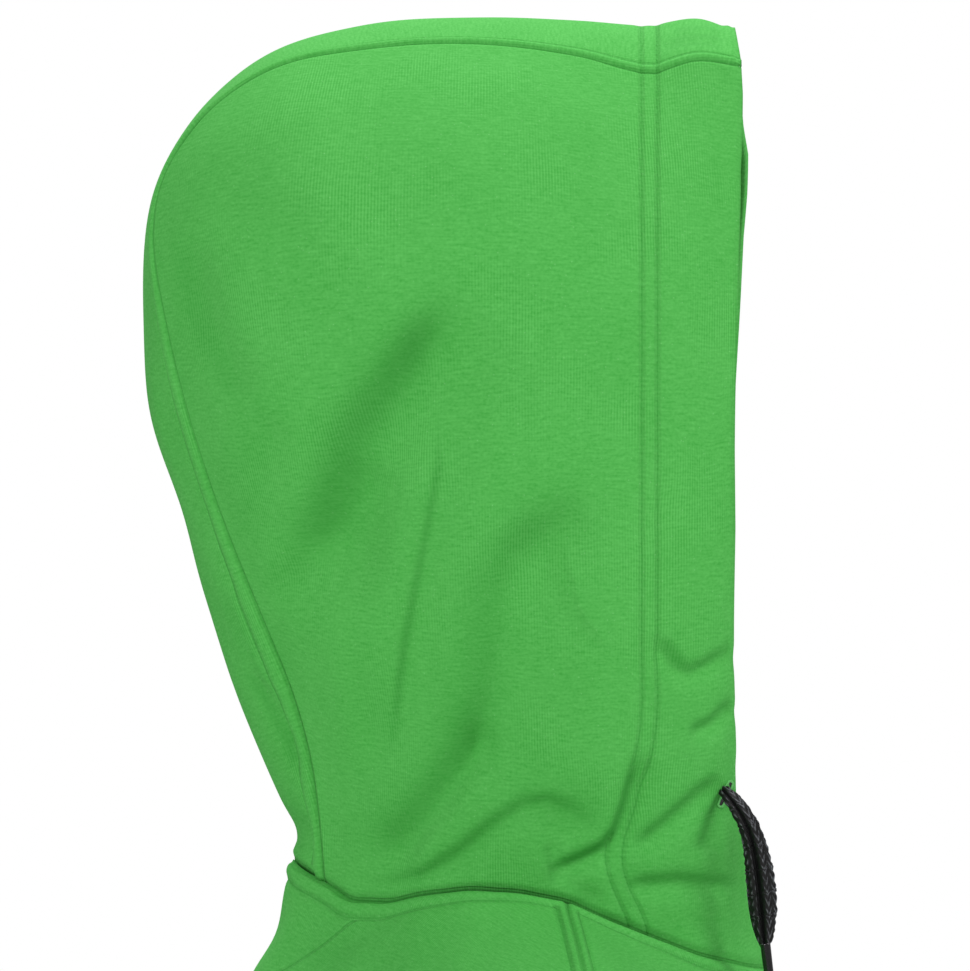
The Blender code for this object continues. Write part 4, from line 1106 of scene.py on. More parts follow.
    def thicken(self, piece: Object) -> None:
        """Gives the sheet its wall, inwards from its face.

        Args:
            piece: The sheet.
        """
        wall = piece.modifiers.new("wall", "SOLIDIFY")
        wall.thickness = self.wall
        wall.offset = -1.0
        wall.use_rim = True
        shares = self.weights(points_of(piece.data))
        if shares is not None:
            group = piece.vertex_groups.new(name="wall")
            for tenth in range(1, 11):
                points = np.flatnonzero(np.round(shares * 10) == tenth)
                group.add(points.tolist(), tenth / 10, "REPLACE")
            wall.vertex_group = "wall"
        apply_modifiers(piece)


# ---------------------------------------------------------------- the hood


# The photographed folds of the hood's right side, backward and up in millimetres. Each runs down
# and back, and its left hand is the steep wall that the light from above and behind leaves dark.
HOOD_FOLDS = creases(
    ((64, 181), (73, 161), (81, 145), (91, 130), (103, 118), (9, 20, 4.5)),
    ((23, 241), (32, 227), (50, 201), (64, 181), (72, 161), (80, 145), (97, 124), (12, 30, 10.5)),
    ((34, 201), (34, 185), (34, 173), (37, 157), (41, 137), (44, 121), (47, 105), (50, 85),
     (52, 65), (56, 51), (2.4, 9, 1.8)),
    ((-33, 143), (-13, 147), (1, 136), (7, 123), (10, 105), (13, 81), (23, 59), (35, 41),
     (12, 24, 7.0)),
    ((15, 73), (24, 58), (40, 36), (52, 22), (61, 12), (9, 7, 6.0)),
    ((-29, 26), (-23, 32), (-16, 37), (-7, 40), (2, 38), (13, 31), (25, 21), (41, 11), (67, 5),
     (4, 8, 3.0)),
    ((-46, 63), (-44, 52), (-41, 40), (-37, 29), (-31, 22), (-22, 18), (-14, 15), (-8, 12),
     (-4, 12), (3.2, 6, 4.6)),
    ((-8, 26), (-9, 21), (-10, 15), (-12, 7), (2, 4, 1.4)),
    ((-81, 51), (-76, 48), (-70, 44), (-58, 34), (-46, 24), (-42, 20), (3.4, 6, 3.0)),
    ((-83, 5), (-79, 7), (-61, 9), (-45, 8), (-38, 6), (3.2, 5, 2.6)),
    ((-84, 45), (-80, 41), (-74, 34), (-70, 24), (-68, 19), (3, 5, 2.7)),
    ((-84, 103), (-81, 101), (-72, 95), (-65, 92), (-59, 95), (-53, 104), (-51, 109), (3, 5, 2.6)),
    ((-84, 80), (-80, 78), (-74, 72), (-67, 69), (-64, 67), (2.8, 4, 2.6)),
    ((136, 271), (135, 263), (133, 249), (129, 233), (121, 217), (109, 199), (5, 9, 3.5)),
    ((97, 197), (103, 189), (106, 173), (106, 153), (104, 141), (9, 10, 2.4)),
    ((-13, 9), (-21, 6), (-29, 1), (4, 4, 1.4)),
)  # fmt: skip

# The middle of the front hem's twin stitching, backward and up from the neck seam.
CASING_LINE = np.array((
    (-45.6, -12.0), (-44.3, -8.4), (-42.2, -3.2), (-38.8, 4.0), (-36.6, 9.2), (-35.2, 14.0),
    (-35.0, 18.4), (-35.5, 22.0), (-36.8, 26.6), (-38.7, 32.0), (-41.0, 38.4), (-43.2, 47.2),
    (-45.6, 55.2), (-48.2, 71.2), (-48.8, 81.2), (-48.6, 121.2), (-48.6, 361.2),
))  # fmt: skip


@dataclass
class HoodSide(ClothPiece):
    """A side of the hood, with its front hem's twin stitching."""

    side: Side = Side.RIGHT
    # How far each side's front edge stands back, by height, in millimetres.
    set_back: ClassVar[dict[Side, Points]] = {
        Side.RIGHT: np.array((
            (-12, -1.0), (5, -2.2), (27, -2.0), (36, -0.2), (44, 0.8), (54, 0.8), (62, 0.2),
            (80, 0.0), (150, 0.2), (181, 1.0), (225, 1.6), (257, 2.2), (293, 2.4), (309, 1.2),
            (322, 0.2),
        )),
        Side.LEFT: np.array((
            (200, -0.2), (230, -0.6), (268, -0.9), (285, -1.7), (301, -2.0), (311, -0.5),
            (322, 0.0),
        )),
    }  # fmt: skip

    def __post_init__(self) -> None:
        """Places the photographed folds, a little elsewhere on the far side."""
        if self.side is Side.RIGHT:
            self.creases = HOOD_FOLDS
        else:
            far = [fold.moved(View.LEFT_SIDE, (-5.0, 6.0), 0.85) for fold in HOOD_FOLDS[:8]]
            far += [fold.moved(View.LEFT_SIDE, (2.0, -3.0), 0.9) for fold in HOOD_FOLDS[8:]]
            self.creases = tuple(far)

    def sew(self, sewing: Sewing, sides: list[Points]) -> None:
        """Sews the strip and neck seams, and runs the twin stitching up the front hem.

        Args:
            sewing: Takes the seams and stitch lines.
            sides: The piece's sides.
        """
        face = min(sides, key=lambda side: side[:, 1].mean())
        for side in sides:
            if side is face:
                sewing.fold(Beside.of(sewing.points, side).off, Lie.LEVEL)
            else:
                neck = abs(side[:, 2]).max() < 0.1
                sewing.seam(side, lie=Lie.UNDER if neck else Lie.MEET)
        beside = Beside.of(sewing.points[:, [1, 2]], CASING_LINE * MM)
        sewing.lines["casing"] = beside.off
        sewing.lines["casing_along"] = beside.along

    def pulls(self, points: Points) -> Points:
        """Draws the front edge back, most at the buttonhole and near the crown.

        Args:
            points: The divided sheet's points.

        Returns:
            How far each is moved, in metres.
        """
        moves = np.zeros_like(points)
        heights, shifts = self.set_back[self.side].T * MM
        ahead = smooth_share((-56 * MM - points[:, 1]) / (26 * MM))
        moves[:, 1] = np.interp(points[:, 2], heights, shifts) * ahead
        moves[:, 2] = crown_lift(points)
        return moves

    def weights(self, points: Points) -> Points:
        """Makes the front hem two layers thick.

        Args:
            points: The divided sheet's points.

        Returns:
            Each point's share of the wall.
        """
        line = CASING_LINE * MM
        behind = points[:, 1] - np.interp(points[:, 2], line[:, 1], line[:, 0])
        return 0.5 + 0.5 * smooth_share(-behind / HEM_STEP)


@dataclass
class HoodCentre(ClothPiece):
    """The strip over the crown, topstitched along both its seams."""

    def __post_init__(self) -> None:
        """Places the strip's folds."""
        near = creases(
            ((115, 96), (106, 86), (95, 66), (90, 50), (2.2, 2.6, 2.0)),
            ((120, 130), (112, 110), (104, 92), (98, 80), (3.0, 3.0, -1.0)),
            ((-54, 345), (-62, 346), (-72, 346), (-82, 343), (1.2, 1.6, 0.9)),
            ((-52, 341), (-60, 343), (-70, 343), (-80, 340), (1.2, 1.6, 0.8)),
            ((-56, 349), (-64, 350), (-72, 350), (-80, 347), (1.4, 1.6, 0.7)),
        )
        far = [fold.moved(View.LEFT_SIDE, (3.0, -5.0), 0.8) for fold in near]
        across = creases(
            ((-30, 190), (0, 190), (30, 190), (26, 26, -1.3)),
            ((-30, 110), (0, 110), (30, 110), (22, 22, 2.2)),
            ((-40, 27), (0, 28), (40, 27), (9, 9, 3.4)),
            view=View.BACK,
        )
        self.creases = (*near, *far, *across)

    def sew(self, sewing: Sewing, sides: list[Points]) -> None:
        """Sews both side seams with their stitching, the neck seam and the front hem.

        Args:
            sewing: Takes the seams and stitch lines.
            sides: The piece's sides.
        """
        face = min(sides, key=lambda side: side[:, 1].mean())
        neck = min(sides, key=lambda side: side[:, 2].mean())
        for side in sides:
            if side is neck:
                sewing.seam(side, lie=Lie.UNDER)
            elif side is face:
                sewing.fold(Beside.of(sewing.points, side).off, Lie.LEVEL)
            else:
                # The seam's allowance is wider below the crown.
                low = smooth_share((CROWN + 10 * MM - sewing.points[:, 2]) / (90 * MM))
                sewing.seam(side, (5.2 + 3.4 * low) * MM, raised=0.15, lie=Lie.MEET)
        top = sewing.points[:, 2] > CROWN
        sewing.lines["casing"] = np.where(top, sewing.points[:, 1] + CASING, FAR)
        sewing.lines["casing_along"] = sewing.points[:, 0]

    def pulls(self, points: Points) -> Points:
        """Lifts the front edge, as on the sides.

        Args:
            points: The divided sheet's points.

        Returns:
            How far each is moved, in metres.
        """
        moves = np.zeros_like(points)
        moves[:, 2] = crown_lift(points)
        return moves

    def weights(self, points: Points) -> Points:
        """Makes the front hem two layers thick.

        Args:
            points: The divided sheet's points.

        Returns:
            Each point's share of the wall.
        """
        ahead = np.where(points[:, 2] > CROWN, -points[:, 1] - CASING, -FAR)
        return 0.5 + 0.5 * smooth_share(ahead / HEM_STEP)


# ---------------------------------------------------------------- the body and sleeves


# Half of the half-moon patch's stitching inside the back neck, out from the middle and up.
FACING_LINE = np.array((
    (-54.8, -4.4), (-53.2, -6.8), (-51.3, -11.6), (-48.8, -16.0), (-42.9, -22.4), (-40.0, -25.2),
    (-30.0, -30.5), (-16.0, -34.5), (0.0, -36.0),
))  # fmt: skip


@dataclass
class BodyPanel(ClothPiece):
    """A front or the back."""

    # Where the middle of a sewn side lies: how far out, from and to, and above which height.
    neck: ClassVar[tuple[float, float, float]] = (0.02, 0.09, -0.06)
    shoulder: ClassVar[tuple[float, float, float]] = (0.09, 0.19, -0.12)
    armhole: ClassVar[tuple[float, float]] = (0.19, -0.232)
    neck_stitch: ClassVar[float] = 7.0 * MM
    shoulder_stitch: ClassVar[float] = 4.6 * MM
    behind: ClassVar[float] = 0.05  # the half-moon patch lies further back than this

    def sew(self, sewing: Sewing, sides: list[Points]) -> None:
        """Sews all seams, topstitched at the neck, the shoulders and the armholes.

        Args:
            sewing: Takes the seams and stitch lines.
            sides: The piece's sides.
        """
        for side in sides:
            out, high = abs(side[:, 0]).mean(), side[:, 2].mean()
            at_neck, at_shoulder = (
                near < out < far and high > low for near, far, low in (self.neck, self.shoulder)
            )
            if at_neck:
                sewing.seam(side, self.neck_stitch, lie=Lie.OVER)
            elif at_shoulder:
                sewing.seam(side, self.shoulder_stitch, lie=Lie.MEET)
            else:
                sewing.seam(side)
                near, low = self.armhole
                armhole = side[(side[:, 2] > low) & (abs(side[:, 0]) > near)]
                sewing.seam(armhole, ALLOWANCE, lie=Lie.OVER)
        if self.node == "back":
            half = FACING_LINE * MM
            line = np.concatenate([half, half[-2::-1] * (-1, 1)])
            beside = Beside.of(View.BACK.flatten(sewing.points), line)
            below = sewing.edge > self.neck_stitch + 0.2 * MM
            below &= sewing.points[:, 1] > self.behind
            sewing.lines["facing"] = np.where(below, beside.off, FAR)
            sewing.lines["facing_along"] = beside.along


@dataclass
class Sleeve(ClothPiece):
    """A sleeve, creased at the armhole and the elbow."""

    tube: bool = True
    ring: float = 0.0

    def sew(self, sewing: Sewing, sides: list[Points]) -> None:
        """Sews the sleeve to the armhole and the cuff."""
        for side in sides:
            sewing.seam(side, lie=Lie.UNDER)


@dataclass
class RibBand(ClothPiece):
    """The hem band or a cuff, stretched on a little by its rib."""

    wall: float = RIB_WALL
    levels: int = 1
    ring: float = 0.0
    rim: float = 3.3 * MM
    held: Held = Held.STRETCHED


# ---------------------------------------------------------------- the drawstring


@dataclass
class Drawstring:
    """A free end of the drawstring: a curled flat braid that ends in a glossy tip."""

    side: Side
    finishes: Wardrobe
    thick: float = 4.6 * MM
    full: float = 12 * MM  # where the braid is as wide as this it has its full thickness
    plait: float = 3.1 * MM
    column: float = 3.4 * MM
    channel: float = 0.26  # the lengthwise channel's place, across the half width
    ribs: float = 1.5 * MM  # the fine ribs beyond the channel
    relief: float = 0.45 * MM
    scallop: float = 0.5 * MM
    round_it: float = 26 * MM
    around: int = 72
    steps: int = 300
    tip_length: float = 24.0 * MM
    tip_radius: float = 2.0 * MM
    tip_edge: float = 0.5 * MM
    tip_overlap: float = 0.4 * MM
    tip_way: tuple[float, float, float] = (0.08, -0.12, -0.99)
    # The middle of the braid on the wearer's right, from inside the hem down, in millimetres.
    route: ClassVar[Points] = np.array((
        (-63.2, -77.6, 46.4), (-65.6, -80.0, 43.8), (-66.4, -83.4, 39.6), (-66.0, -87.6, 32.5),
        (-63.4, -90.4, 24.0), (-60.4, -92.2, 14.5), (-57.6, -93.4, 5.0), (-55.2, -94.2, -4.0),
        (-53.2, -94.8, -15.6),
    ))  # fmt: skip
    # Its width by share of its length, in millimetres.
    widths: ClassVar[Points] = np.array((
        (0.0, 4.6), (0.08, 6.2), (0.2, 7.8), (0.38, 9.6), (0.55, 11.8), (0.7, 12.2), (0.82, 11.2),
        (0.91, 9.0), (0.97, 6.0), (1.0, 4.3),
    ))  # fmt: skip

    def path(self) -> Points:
        """The braid's middle line.

        Returns:
            Its points at equal steps, in metres.
        """
        points = self.route * MM * (-self.side.value, 1, 1)
        knots = np.concatenate([[0], np.cumsum(np.linalg.norm(np.diff(points, axis=0), axis=1))])
        slopes = np.gradient(points, knots, axis=0)
        at = np.linspace(0, knots[-1], self.steps + 1)
        left = np.clip(np.searchsorted(knots, at, side="right") - 1, 0, len(knots) - 2)
        step = (knots[left + 1] - knots[left])[:, None]
        share = (at - knots[left])[:, None] / step
        rise = points[left + 1] - points[left]
        start = points[left] + share**2 * (3 - 2 * share) * rise
        bend = (1 - share) * slopes[left] - share * slopes[left + 1]
        return start + step * share * (1 - share) * (bend - (1 - 2 * share) * rise / step)

    def section(self, turn: float, along: float, length: float) -> tuple[float, float, float]:
        """Works out a point of the braid's curled section.

        Args:
            turn: The angle round the section.
            along: The distance along the braid.
            length: The braid's length.

        Returns:
            The point across and outwards, in metres, and how far it is a crest, from 0 to 1.
        """
        width = float(np.interp(along / length, *self.widths.T)) * MM
        full = min(width / self.full, 1.0)
        across = math.cos(turn)
        fold = float(bell(across - self.channel, 0.15))
        lobe = 0.55 + 0.45 * math.sin(math.pi * min(abs(across - self.channel) / 0.75, 1.0)) ** 0.8
        flat = across * width / 2
        slant = 2 * abs((flat / self.column) % 1.0 - 0.5)
        wave = 0.5 + 0.5 * math.cos(2 * math.pi * (along / self.plait + slant))
        seam = abs(math.sin(math.pi * flat / self.column)) ** 0.5
        crest = wave * (0.35 + 0.65 * seam) * (1 - fold)
        if across > self.channel + 0.1:
            ribs = 0.5 + 0.5 * math.cos(2 * math.pi * flat / self.ribs)
            crest = (0.35 * crest + 0.65 * ribs * (0.6 + 0.4 * wave)) * (1 - fold)
        side = math.sin(turn)
        high = self.thick / 2 * (0.55 + 0.45 * full) * side * lobe
        if side > 0:
            high -= self.thick * 0.42 * fold * full * side
        relief = self.relief * (crest - 0.4) * (0.5 + 0.5 * full)
        edge = flat + self.scallop * (wave - 0.5) * across * full
        return edge, high + relief * side, crest

    def build(self) -> Object:
        """Returns:
            The braid.
        """
        line = self.path()
        length = float(np.linalg.norm(np.diff(line, axis=0), axis=1).sum())
        ways = np.gradient(line, axis=0)
        ways /= np.linalg.norm(ways, axis=1, keepdims=True)
        shape = bmesh.new()
        bmesh.ops.create_grid(shape, x_segments=self.around, y_segments=self.steps, size=0.5)
        uv = shape.loops.layers.uv.new("Cloth")
        # Where the braid's finish paints its highlights.
        crests = shape.verts.layers.float.new("crest")
        for face in shape.faces:
            for loop in face.loops:
                spot = loop.vert.co
                loop[uv].uv = ((spot.x + 0.5) * self.round_it, (spot.y + 0.5) * length)
        for vert in shape.verts:
            turn = 2 * math.pi * (vert.co.x + 0.5)
            share = vert.co.y + 0.5
            index = min(round(share * self.steps), self.steps)
            way = Vector(ways[index])
            outward = Vector((self.side.value, -0.3, 0.0))
            outward = (outward - way * outward.dot(way)).normalized()
            across = way.cross(outward) * -self.side.value
            wide, high, vert[crests] = self.section(turn, share * length, length)
            vert.co = Vector(line[index]) + across * wide + outward * high
        bmesh.ops.remove_doubles(shape, verts=shape.verts, dist=0.01 * MM)
        bmesh.ops.holes_fill(shape, edges=[e for e in shape.edges if e.is_boundary], sides=0)
        bmesh.ops.recalc_face_normals(shape, faces=shape.faces)
        node = "drawcord_" + self.side.word
        name = node + "_braid"
        cord = new_piece(name, mesh_of(shape, name), self.finishes.braid, node)
        self.tip(Vector(line[-1]))
        return cord

    def tip(self, start: Vector) -> Object:
        """Builds the glossy tube on the braid's end.

        Args:
            start: Where the braid ends.

        Returns:
            The tip.
        """
        aside, forward, down = self.tip_way
        way = Vector((-self.side.value * aside, forward, down)).normalized()
        shape = bmesh.new()
        bmesh.ops.create_cone(
            shape,
            cap_ends=True,
            segments=32,
            radius1=self.tip_radius * 0.9,
            radius2=self.tip_radius * 1.05,
            depth=self.tip_length,
        )
        rims = [e for e in shape.edges if len({round(v.co.z, 6) for v in e.verts}) == 1]
        bevel(shape, rims, self.tip_edge, 3)
        place = Matrix.Translation(start) @ (-way).to_track_quat("Z", "Y").to_matrix().to_4x4()
        middle = Matrix.Translation((0, 0, self.tip_overlap - self.tip_length / 2))
        bmesh.ops.transform(shape, matrix=place @ middle, verts=shape.verts)
        node = "cord_tip_" + self.side.word
        name = node + "_tube"
        return new_piece(name, mesh_of(shape, name), self.finishes.tip, node)


@dataclass
class Buttonhole:
    """The stitched hole in the hood's front hem that the drawstring comes out of."""

    side: Side
    finishes: Wardrobe
    cloth: Object
    middle: tuple[float, float] = (-79.0, 44.2)  # backward and up, in millimetres
    way: tuple[float, float] = (-0.42, 0.9)
    length: float = 11.0 * MM
    width: float = 2.4 * MM
    thread: float = 0.5 * MM
    proud: float = 0.25 * MM
    cloth_at: float = 65.5 * MM  # out from the middle, where a ray misses the cloth

    def build(self) -> Object:
        """Builds the hole's oval of close stitches on the cloth.

        Returns:
            The stitched rim.
        """
        way = Vector(self.way).normalized()
        shape = bmesh.new()
        bmesh.ops.create_circle(shape, segments=10, radius=self.thread)
        bmesh.ops.translate(shape, vec=(self.width / 2, 0, 0), verts=shape.verts)
        bmesh.ops.rotate(
            shape,
            cent=(self.width / 2, 0, 0),
            matrix=Matrix.Rotation(math.pi / 2, 3, "X"),
            verts=shape.verts,
        )
        bmesh.ops.spin(
            shape,
            geom=shape.edges[:],
            cent=(0, 0, 0),
            axis=(0, 0, 1),
            angle=2 * math.pi,
            steps=120,
            use_merge=True,
        )
        bmesh.ops.create_circle(shape, cap_ends=True, segments=48, radius=self.width / 2)
        straight = (self.length - self.width) / 2
        hand = self.side.value
        for vert in shape.verts:
            turn = math.atan2(vert.co.y, vert.co.x)
            along = vert.co.y + straight * max(-1.0, min(1.0, math.sin(turn) / 0.6))
            back = self.middle[0] * MM + way.x * along + way.y * vert.co.x
            up = self.middle[1] * MM + way.y * along - way.x * vert.co.x
            hit, spot, _, _ = self.cloth.ray_cast(Vector((hand * 0.5, back, up)), (-hand, 0, 0))
            out = spot.x if hit else hand * self.cloth_at
            vert.co = (out + hand * (vert.co.z + self.proud), back, up)
        bmesh.ops.recalc_face_normals(shape, faces=shape.faces)
        hole = max(shape.faces, key=lambda face: len(face.verts))
        if hole.normal.x * hand < 0:
            hole.normal_flip()
        name = "buttonhole_" + self.side.word
        piece = new_piece(name, mesh_of(shape, name), self.finishes.thread)
        # The dark cord lies in the hem right behind the hole, and fills it: a flat disc of its
        # black braid, which also stands in as painted shade inside the hole.
        piece.data.materials.append(self.finishes.braid)
        max(piece.data.polygons, key=lambda face: face.loop_total).material_index = 1
        return piece


# ---------------------------------------------------------------- the zip


@dataclass
class ZipTeeth:
    """Two rows of cast teeth, meshed up the middle of the front."""

    finish: Material
    node: str = "zip_chain"
    pitch: float = 2.5 * MM
    tooth: tuple[float, float, float] = (3.3 * MM, 2.3 * MM, 1.15 * MM)
    edge: float = 0.22 * MM
    lean: float = 0.95 * MM

    def template(self) -> Mesh:
        """Shapes one tooth: a bevelled bar, narrowed to a head at its inner end.

        Returns:
            The tooth, its root to +X, its height along Z.
        """
        shape = bmesh.new()
        bmesh.ops.create_cube(shape, size=1.0)
        bmesh.ops.scale(shape, vec=self.tooth, verts=shape.verts)
        head = [vert for vert in shape.verts if vert.co.x < 0]
        bmesh.ops.scale(shape, vec=(1.0, 0.72, 0.8), verts=head)
        bevel(shape, shape.edges[:], self.edge, 1)
        return mesh_of(shape, "tooth", smooth=False)

    def build(self) -> Object:
        """Sets a tooth on each side in turn along the chain.

        Returns:
            The rows of teeth.
        """
        points = points_of(bpy.data.objects[self.node].data)
        half = points[points[:, 0] < 0]
        half = half[np.argsort(half[:, 2])]
        half = half[: len(half) // 2 * 2].reshape(-1, 2, 3).mean(axis=1)
        steps = np.concatenate([[0], np.cumsum(np.linalg.norm(np.diff(half, axis=0), axis=1))])
        tooth = self.template()
        shape = bmesh.new()
        near = np.array((-1, 0, 1)) * MM
        places = np.arange(self.pitch, steps[-1] - self.pitch / 2, self.pitch / 2)
        for count, at in enumerate(places):
            behind, back, ahead = np.interp(at + near, steps, half[:, 1])
            hand = 1 if count % 2 else -1
            middle = Vector((hand * self.lean, back, np.interp(at, steps, half[:, 2])))
            tilt = Matrix.Rotation(-math.atan2(ahead - behind, 2 * MM), 4, "X")
            turn = Matrix.Rotation(0 if hand > 0 else math.pi, 4, "Z")
            before = len(shape.verts)
            shape.from_mesh(tooth)
            shape.verts.ensure_lookup_table()
            place = Matrix.Translation(middle) @ tilt @ turn
            bmesh.ops.transform(shape, matrix=place, verts=shape.verts[before:])
        mesh = mesh_of(shape, "zip_teeth", smooth=False)
        return new_piece("zip_teeth", mesh, self.finish, self.node)


@dataclass
class Casting:
    """A small cast piece of the zip: its solid with softened edges."""

    node: str
    finish: Material
    body: str = "garment"
    bevel: float = 0.28 * MM

    def build(self) -> Object:
        """Builds the piece from a merged copy of its solid.

        Returns:
            The casting.
        """
        shape = bmesh.new()
        shape.from_mesh(bpy.data.objects[self.node].data)
        bmesh.ops.remove_doubles(shape, verts=shape.verts, dist=0.005 * MM)
        flats = math.radians(2)
        bmesh.ops.dissolve_limit(shape, angle_limit=flats, verts=shape.verts, edges=shape.edges)
        bmesh.ops.recalc_face_normals(shape, faces=shape.faces)
        name = self.node + "_cast"
        mesh = mesh_of(shape, name, smooth=False)
        piece = new_piece(name, mesh, self.finish, self.node, self.body)
        soften = piece.modifiers.new("soften", "BEVEL")
        soften.width = self.bevel
        soften.segments = 2
        soften.limit_method = "ANGLE"
        soften.angle_limit = math.radians(30)
        soften.harden_normals = False
        apply_modifiers(piece)
        return piece


# ---------------------------------------------------------------- the studio


@dataclass
class Studio:
    """The white room: a side-on camera, a pale floor and soft light from above and beside."""

    finishes: Wardrobe
    frame_width: float = 0.388
    centre: tuple[float, float, float] = (-0.02, 0.0168, 0.167)
    distance: float = 10.0
    sensor: float = 36.0  # millimetres
    floor_z: float = -0.70
    floor_half: float = 8.0
    surroundings: float = 0.31
    # Each lamp's name, place, size in metres and power in watts.
    lamps: ClassVar[tuple[tuple, ...]] = (
        ("behind_camera", (-2.5, 0.9, 1.3), 1.0, 39.0),
        ("crown", (1.4, 0.2, 2.4), 1.6, 64.0),
        ("before_face", (-0.5, -2.2, 1.8), 1.0, 34.0),
    )

    def camera(self) -> None:
        """Places the camera on the wearer's right, level, at the photograph's framing."""
        lens = bpy.data.cameras.new("side_camera")
        lens.sensor_width = self.sensor
        lens.lens = self.sensor * (self.distance + self.centre[0]) / self.frame_width
        lens.clip_end = 100.0
        camera = bpy.data.objects.new("side_camera", lens)
        bpy.context.scene.collection.objects.link(camera)
        camera.location = (-self.distance, *self.centre[1:])
        camera.rotation_euler = Vector((1, 0, 0)).to_track_quat("-Z", "Y").to_euler()
        bpy.context.scene.camera = camera

    def build(self) -> None:
        """Builds the floor, the lights and the white surroundings."""
        shape = bmesh.new()
        bmesh.ops.create_grid(shape, x_segments=1, y_segments=1, size=self.floor_half)
        bmesh.ops.translate(shape, vec=(0, 0, self.floor_z), verts=shape.verts)
        mesh = mesh_of(shape, "studio_floor", smooth=False)
        mesh.materials.append(self.finishes.paper)
        floor = bpy.data.objects.new("studio_floor", mesh)
        bpy.context.scene.collection.objects.link(floor)
        for name, place, size, power in self.lamps:
            lamp = bpy.data.lights.new(name, "AREA")
            lamp.size = size
            lamp.energy = power
            holder = bpy.data.objects.new(name, lamp)
            bpy.context.scene.collection.objects.link(holder)
            holder.location = place
            way = Vector(self.centre) - Vector(place)
            holder.rotation_euler = way.to_track_quat("-Z", "Y").to_euler()
        world = bpy.data.worlds.new("white_room")
        bpy.context.scene.world = world
        world.use_nodes = True
        tree = world.node_tree
        seen = put(tree, "LightPath", out="Is Camera Ray")
        strength = put(tree, "MapRange", (seen, 0.0, 1.0, self.surroundings, 1.0))
        white = (1.0, 1.0, 1.0, 1.0)
        fill(tree.nodes["Background"], {"Color": white, "Strength": strength})
        bpy.context.scene.view_settings.view_transform = "Standard"


# ---------------------------------------------------------------- the whole garment


# Folds of the sleeves: out from the middle and up, in millimetres, as on the wearer's left.
SLEEVE_FOLDS = creases(
    ((232, -205), (262, -212), (300, -208), (9, 12, 5.7)),
    ((236, -222), (272, -250), (318, -262), (11, 11, 4.6)),
    ((300, -330), (335, -352), (368, -350), (14, 16, 6.5)),
    ((306, -372), (344, -384), (384, -372), (11, 12, 4.9)),
    ((330, -300), (362, -330), (378, -372), (16, 16, -3.4)),
    ((376, -520), (402, -540), (430, -536), (9, 11, 4.9)),
    ((388, -556), (412, -570), (440, -562), (7, 8, 4.2)),
    view=View.FRONT,
) + creases(
    ((228, -180), (258, -205), (290, -236), (12, 12, 5.3)),
    ((304, -318), (344, -346), (392, -352), (15, 16, 6.1)),
    ((316, -366), (356, -388), (398, -392), (11, 14, 4.9)),
    ((380, -530), (410, -548), (444, -548), (9, 11, 4.6)),
    view=View.BACK,
)
# Folds of a front, as on the wearer's left.
FRONT_FOLDS = creases(
    ((218, -228), (180, -252), (140, -262), (12, 16, 5.7)),
    ((222, -262), (186, -300), (150, -330), (15, 16, 4.9)),
    ((196, -110), (170, -160), (160, -205), (16, 14, 4.2)),
    ((60, -60), (88, -120), (100, -190), (19, 22, 3.8)),
    ((176, -556), (198, -572), (224, -568), (11, 11, 3.4)),
    ((40, -250), (44, -300), (38, -345), (12, 12, 2.4)),
    view=View.FRONT,
)
# Folds of the back, each drawn on one side and again, a little elsewhere, on the other.
BACK_FOLDS = creases(
    ((-30, -12), (30, -13), (80, -18), (14, 14, 2.4)),
    ((216, -226), (170, -262), (116, -276), (14, 19, 6.5)),
    ((222, -270), (180, -318), (130, -350), (16, 19, 5.7)),
    ((198, -100), (176, -160), (170, -214), (16, 16, 4.2)),
    ((96, -70), (110, -150), (104, -220), (24, 24, 3.8)),
    ((40, -572), (90, -586), (150, -576), (11, 12, 4.9)),
    ((140, -548), (184, -572), (224, -566), (12, 14, 5.3)),
    ((20, -380), (60, -440), (70, -510), (27, 27, 4.2)),
    view=View.BACK,
)


def on_side(folds: tuple[Crease, ...], side: Side) -> tuple[Crease, ...]:
    """Puts folds drawn for the wearer's left on either side, uneven between the two.

    Args:
        folds: The folds.
        side: The side.

    Returns:
        The folds there.
    """
    if side is Side.LEFT:
        return folds
    return tuple(
        fold.moved(fold.view, (3.0 - 2.0 * (place % 4), 5.0 - 4.0 * (place % 3)), 0.85).mirrored()
        for place, fold in enumerate(folds)
    )


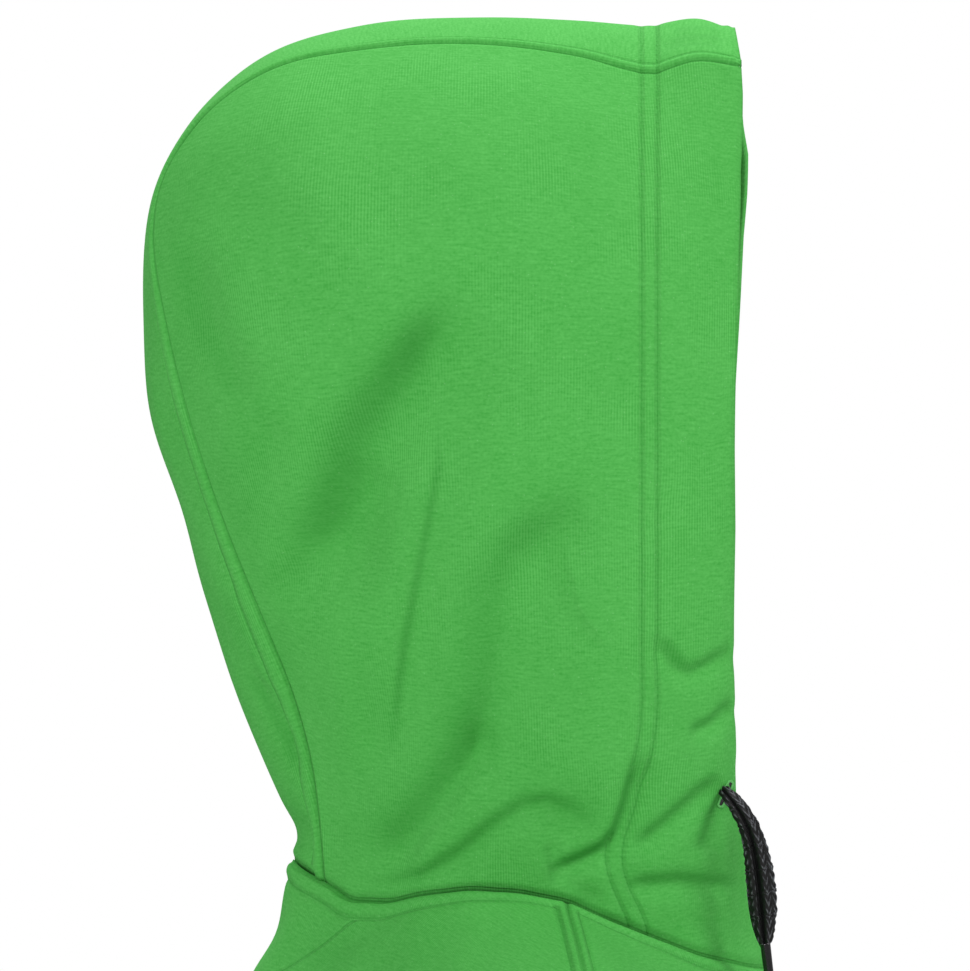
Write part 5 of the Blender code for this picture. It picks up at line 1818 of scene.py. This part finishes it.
@dataclass
class Hoodie:
    """Builds every cloth piece and the zip."""

    finishes: Wardrobe

    def build(self) -> None:
        """Builds the pieces in order."""
        for side in Side:
            self.hood_and_front(side)
            self.arm(side)
        fleece, metal = self.finishes.fleece, self.finishes.metal
        under_hood = ("hood_side_right", "back")
        HoodCentre("hood_centre", fleece, (0.10, 0.66), 0.056, under_hood).build()
        folds = on_side(BACK_FOLDS, Side.LEFT) + on_side(BACK_FOLDS, Side.RIGHT)
        under_back = ("hood_centre", "front_right")
        BodyPanel("back", fleece, (0.62, 0.68), 0.33, under_back, folds).build()
        RibBand(
            "hem_band", self.finishes.rib, (1.15, 0.075), 0.073, ("back", "front_right")
        ).build()
        ZipTeeth(metal).build()
        Casting("zip_box", metal).build()
        Casting("zip_slider", metal).build()
        Casting("zip_pull", metal, body="pull").build()
        for side in Side:
            tape = bpy.data.objects["zip_tape_" + side.word].data
            tape.materials.clear()
            tape.materials.append(self.finishes.tape)

    def hood_and_front(self, side: Side) -> None:
        """Builds one side of the hood, its buttonhole, the front below it and the pocket.

        Args:
            side: The side.
        """
        fleece = self.finishes.fleece
        front = "front_" + side.word
        hood = HoodSide(
            "hood_side_" + side.word,
            fleece,
            (0.30, 0.40),
            0.098,
            (front, "back", "hood_centre"),
            wall=TWO_LAYERS,
            side=side,
        ).build()
        Buttonhole(side, self.finishes, hood).build()
        folds = on_side(FRONT_FOLDS, side)
        under_front = ("back", "sleeve_" + side.word)
        BodyPanel(front, fleece, (0.31, 0.66), 0.155, under_front, folds).build()
        ClothPiece("pocket_" + side.word, fleece, (0.19, 0.21), 0.026, (front,)).build()

    def arm(self, side: Side) -> None:
        """Builds one sleeve and its cuff.

        Args:
            side: The side.
        """
        sleeve = "sleeve_" + side.word
        folds = on_side(SLEEVE_FOLDS, side)
        under_sleeve = ("back", "front_" + side.word)
        fleece, rib = self.finishes.fleece, self.finishes.rib
        Sleeve(sleeve, fleece, (0.52, 0.60), 0.235, under_sleeve, folds).build()
        RibBand("cuff_" + side.word, rib, (0.24, 0.075), 0.0145, (sleeve,), tube=True).build()


def main() -> None:
    """Loads the frame, then builds and reports every piece."""
    logging.basicConfig(level=logging.INFO, format="%(name)s: %(message)s")
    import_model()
    finishes = Wardrobe()
    studio = Studio(finishes)
    studio.camera()
    for side in Side:
        Drawstring(side, finishes).build()
    Hoodie(finishes).build()
    studio.build()


if __name__ == "__main__":
    main()
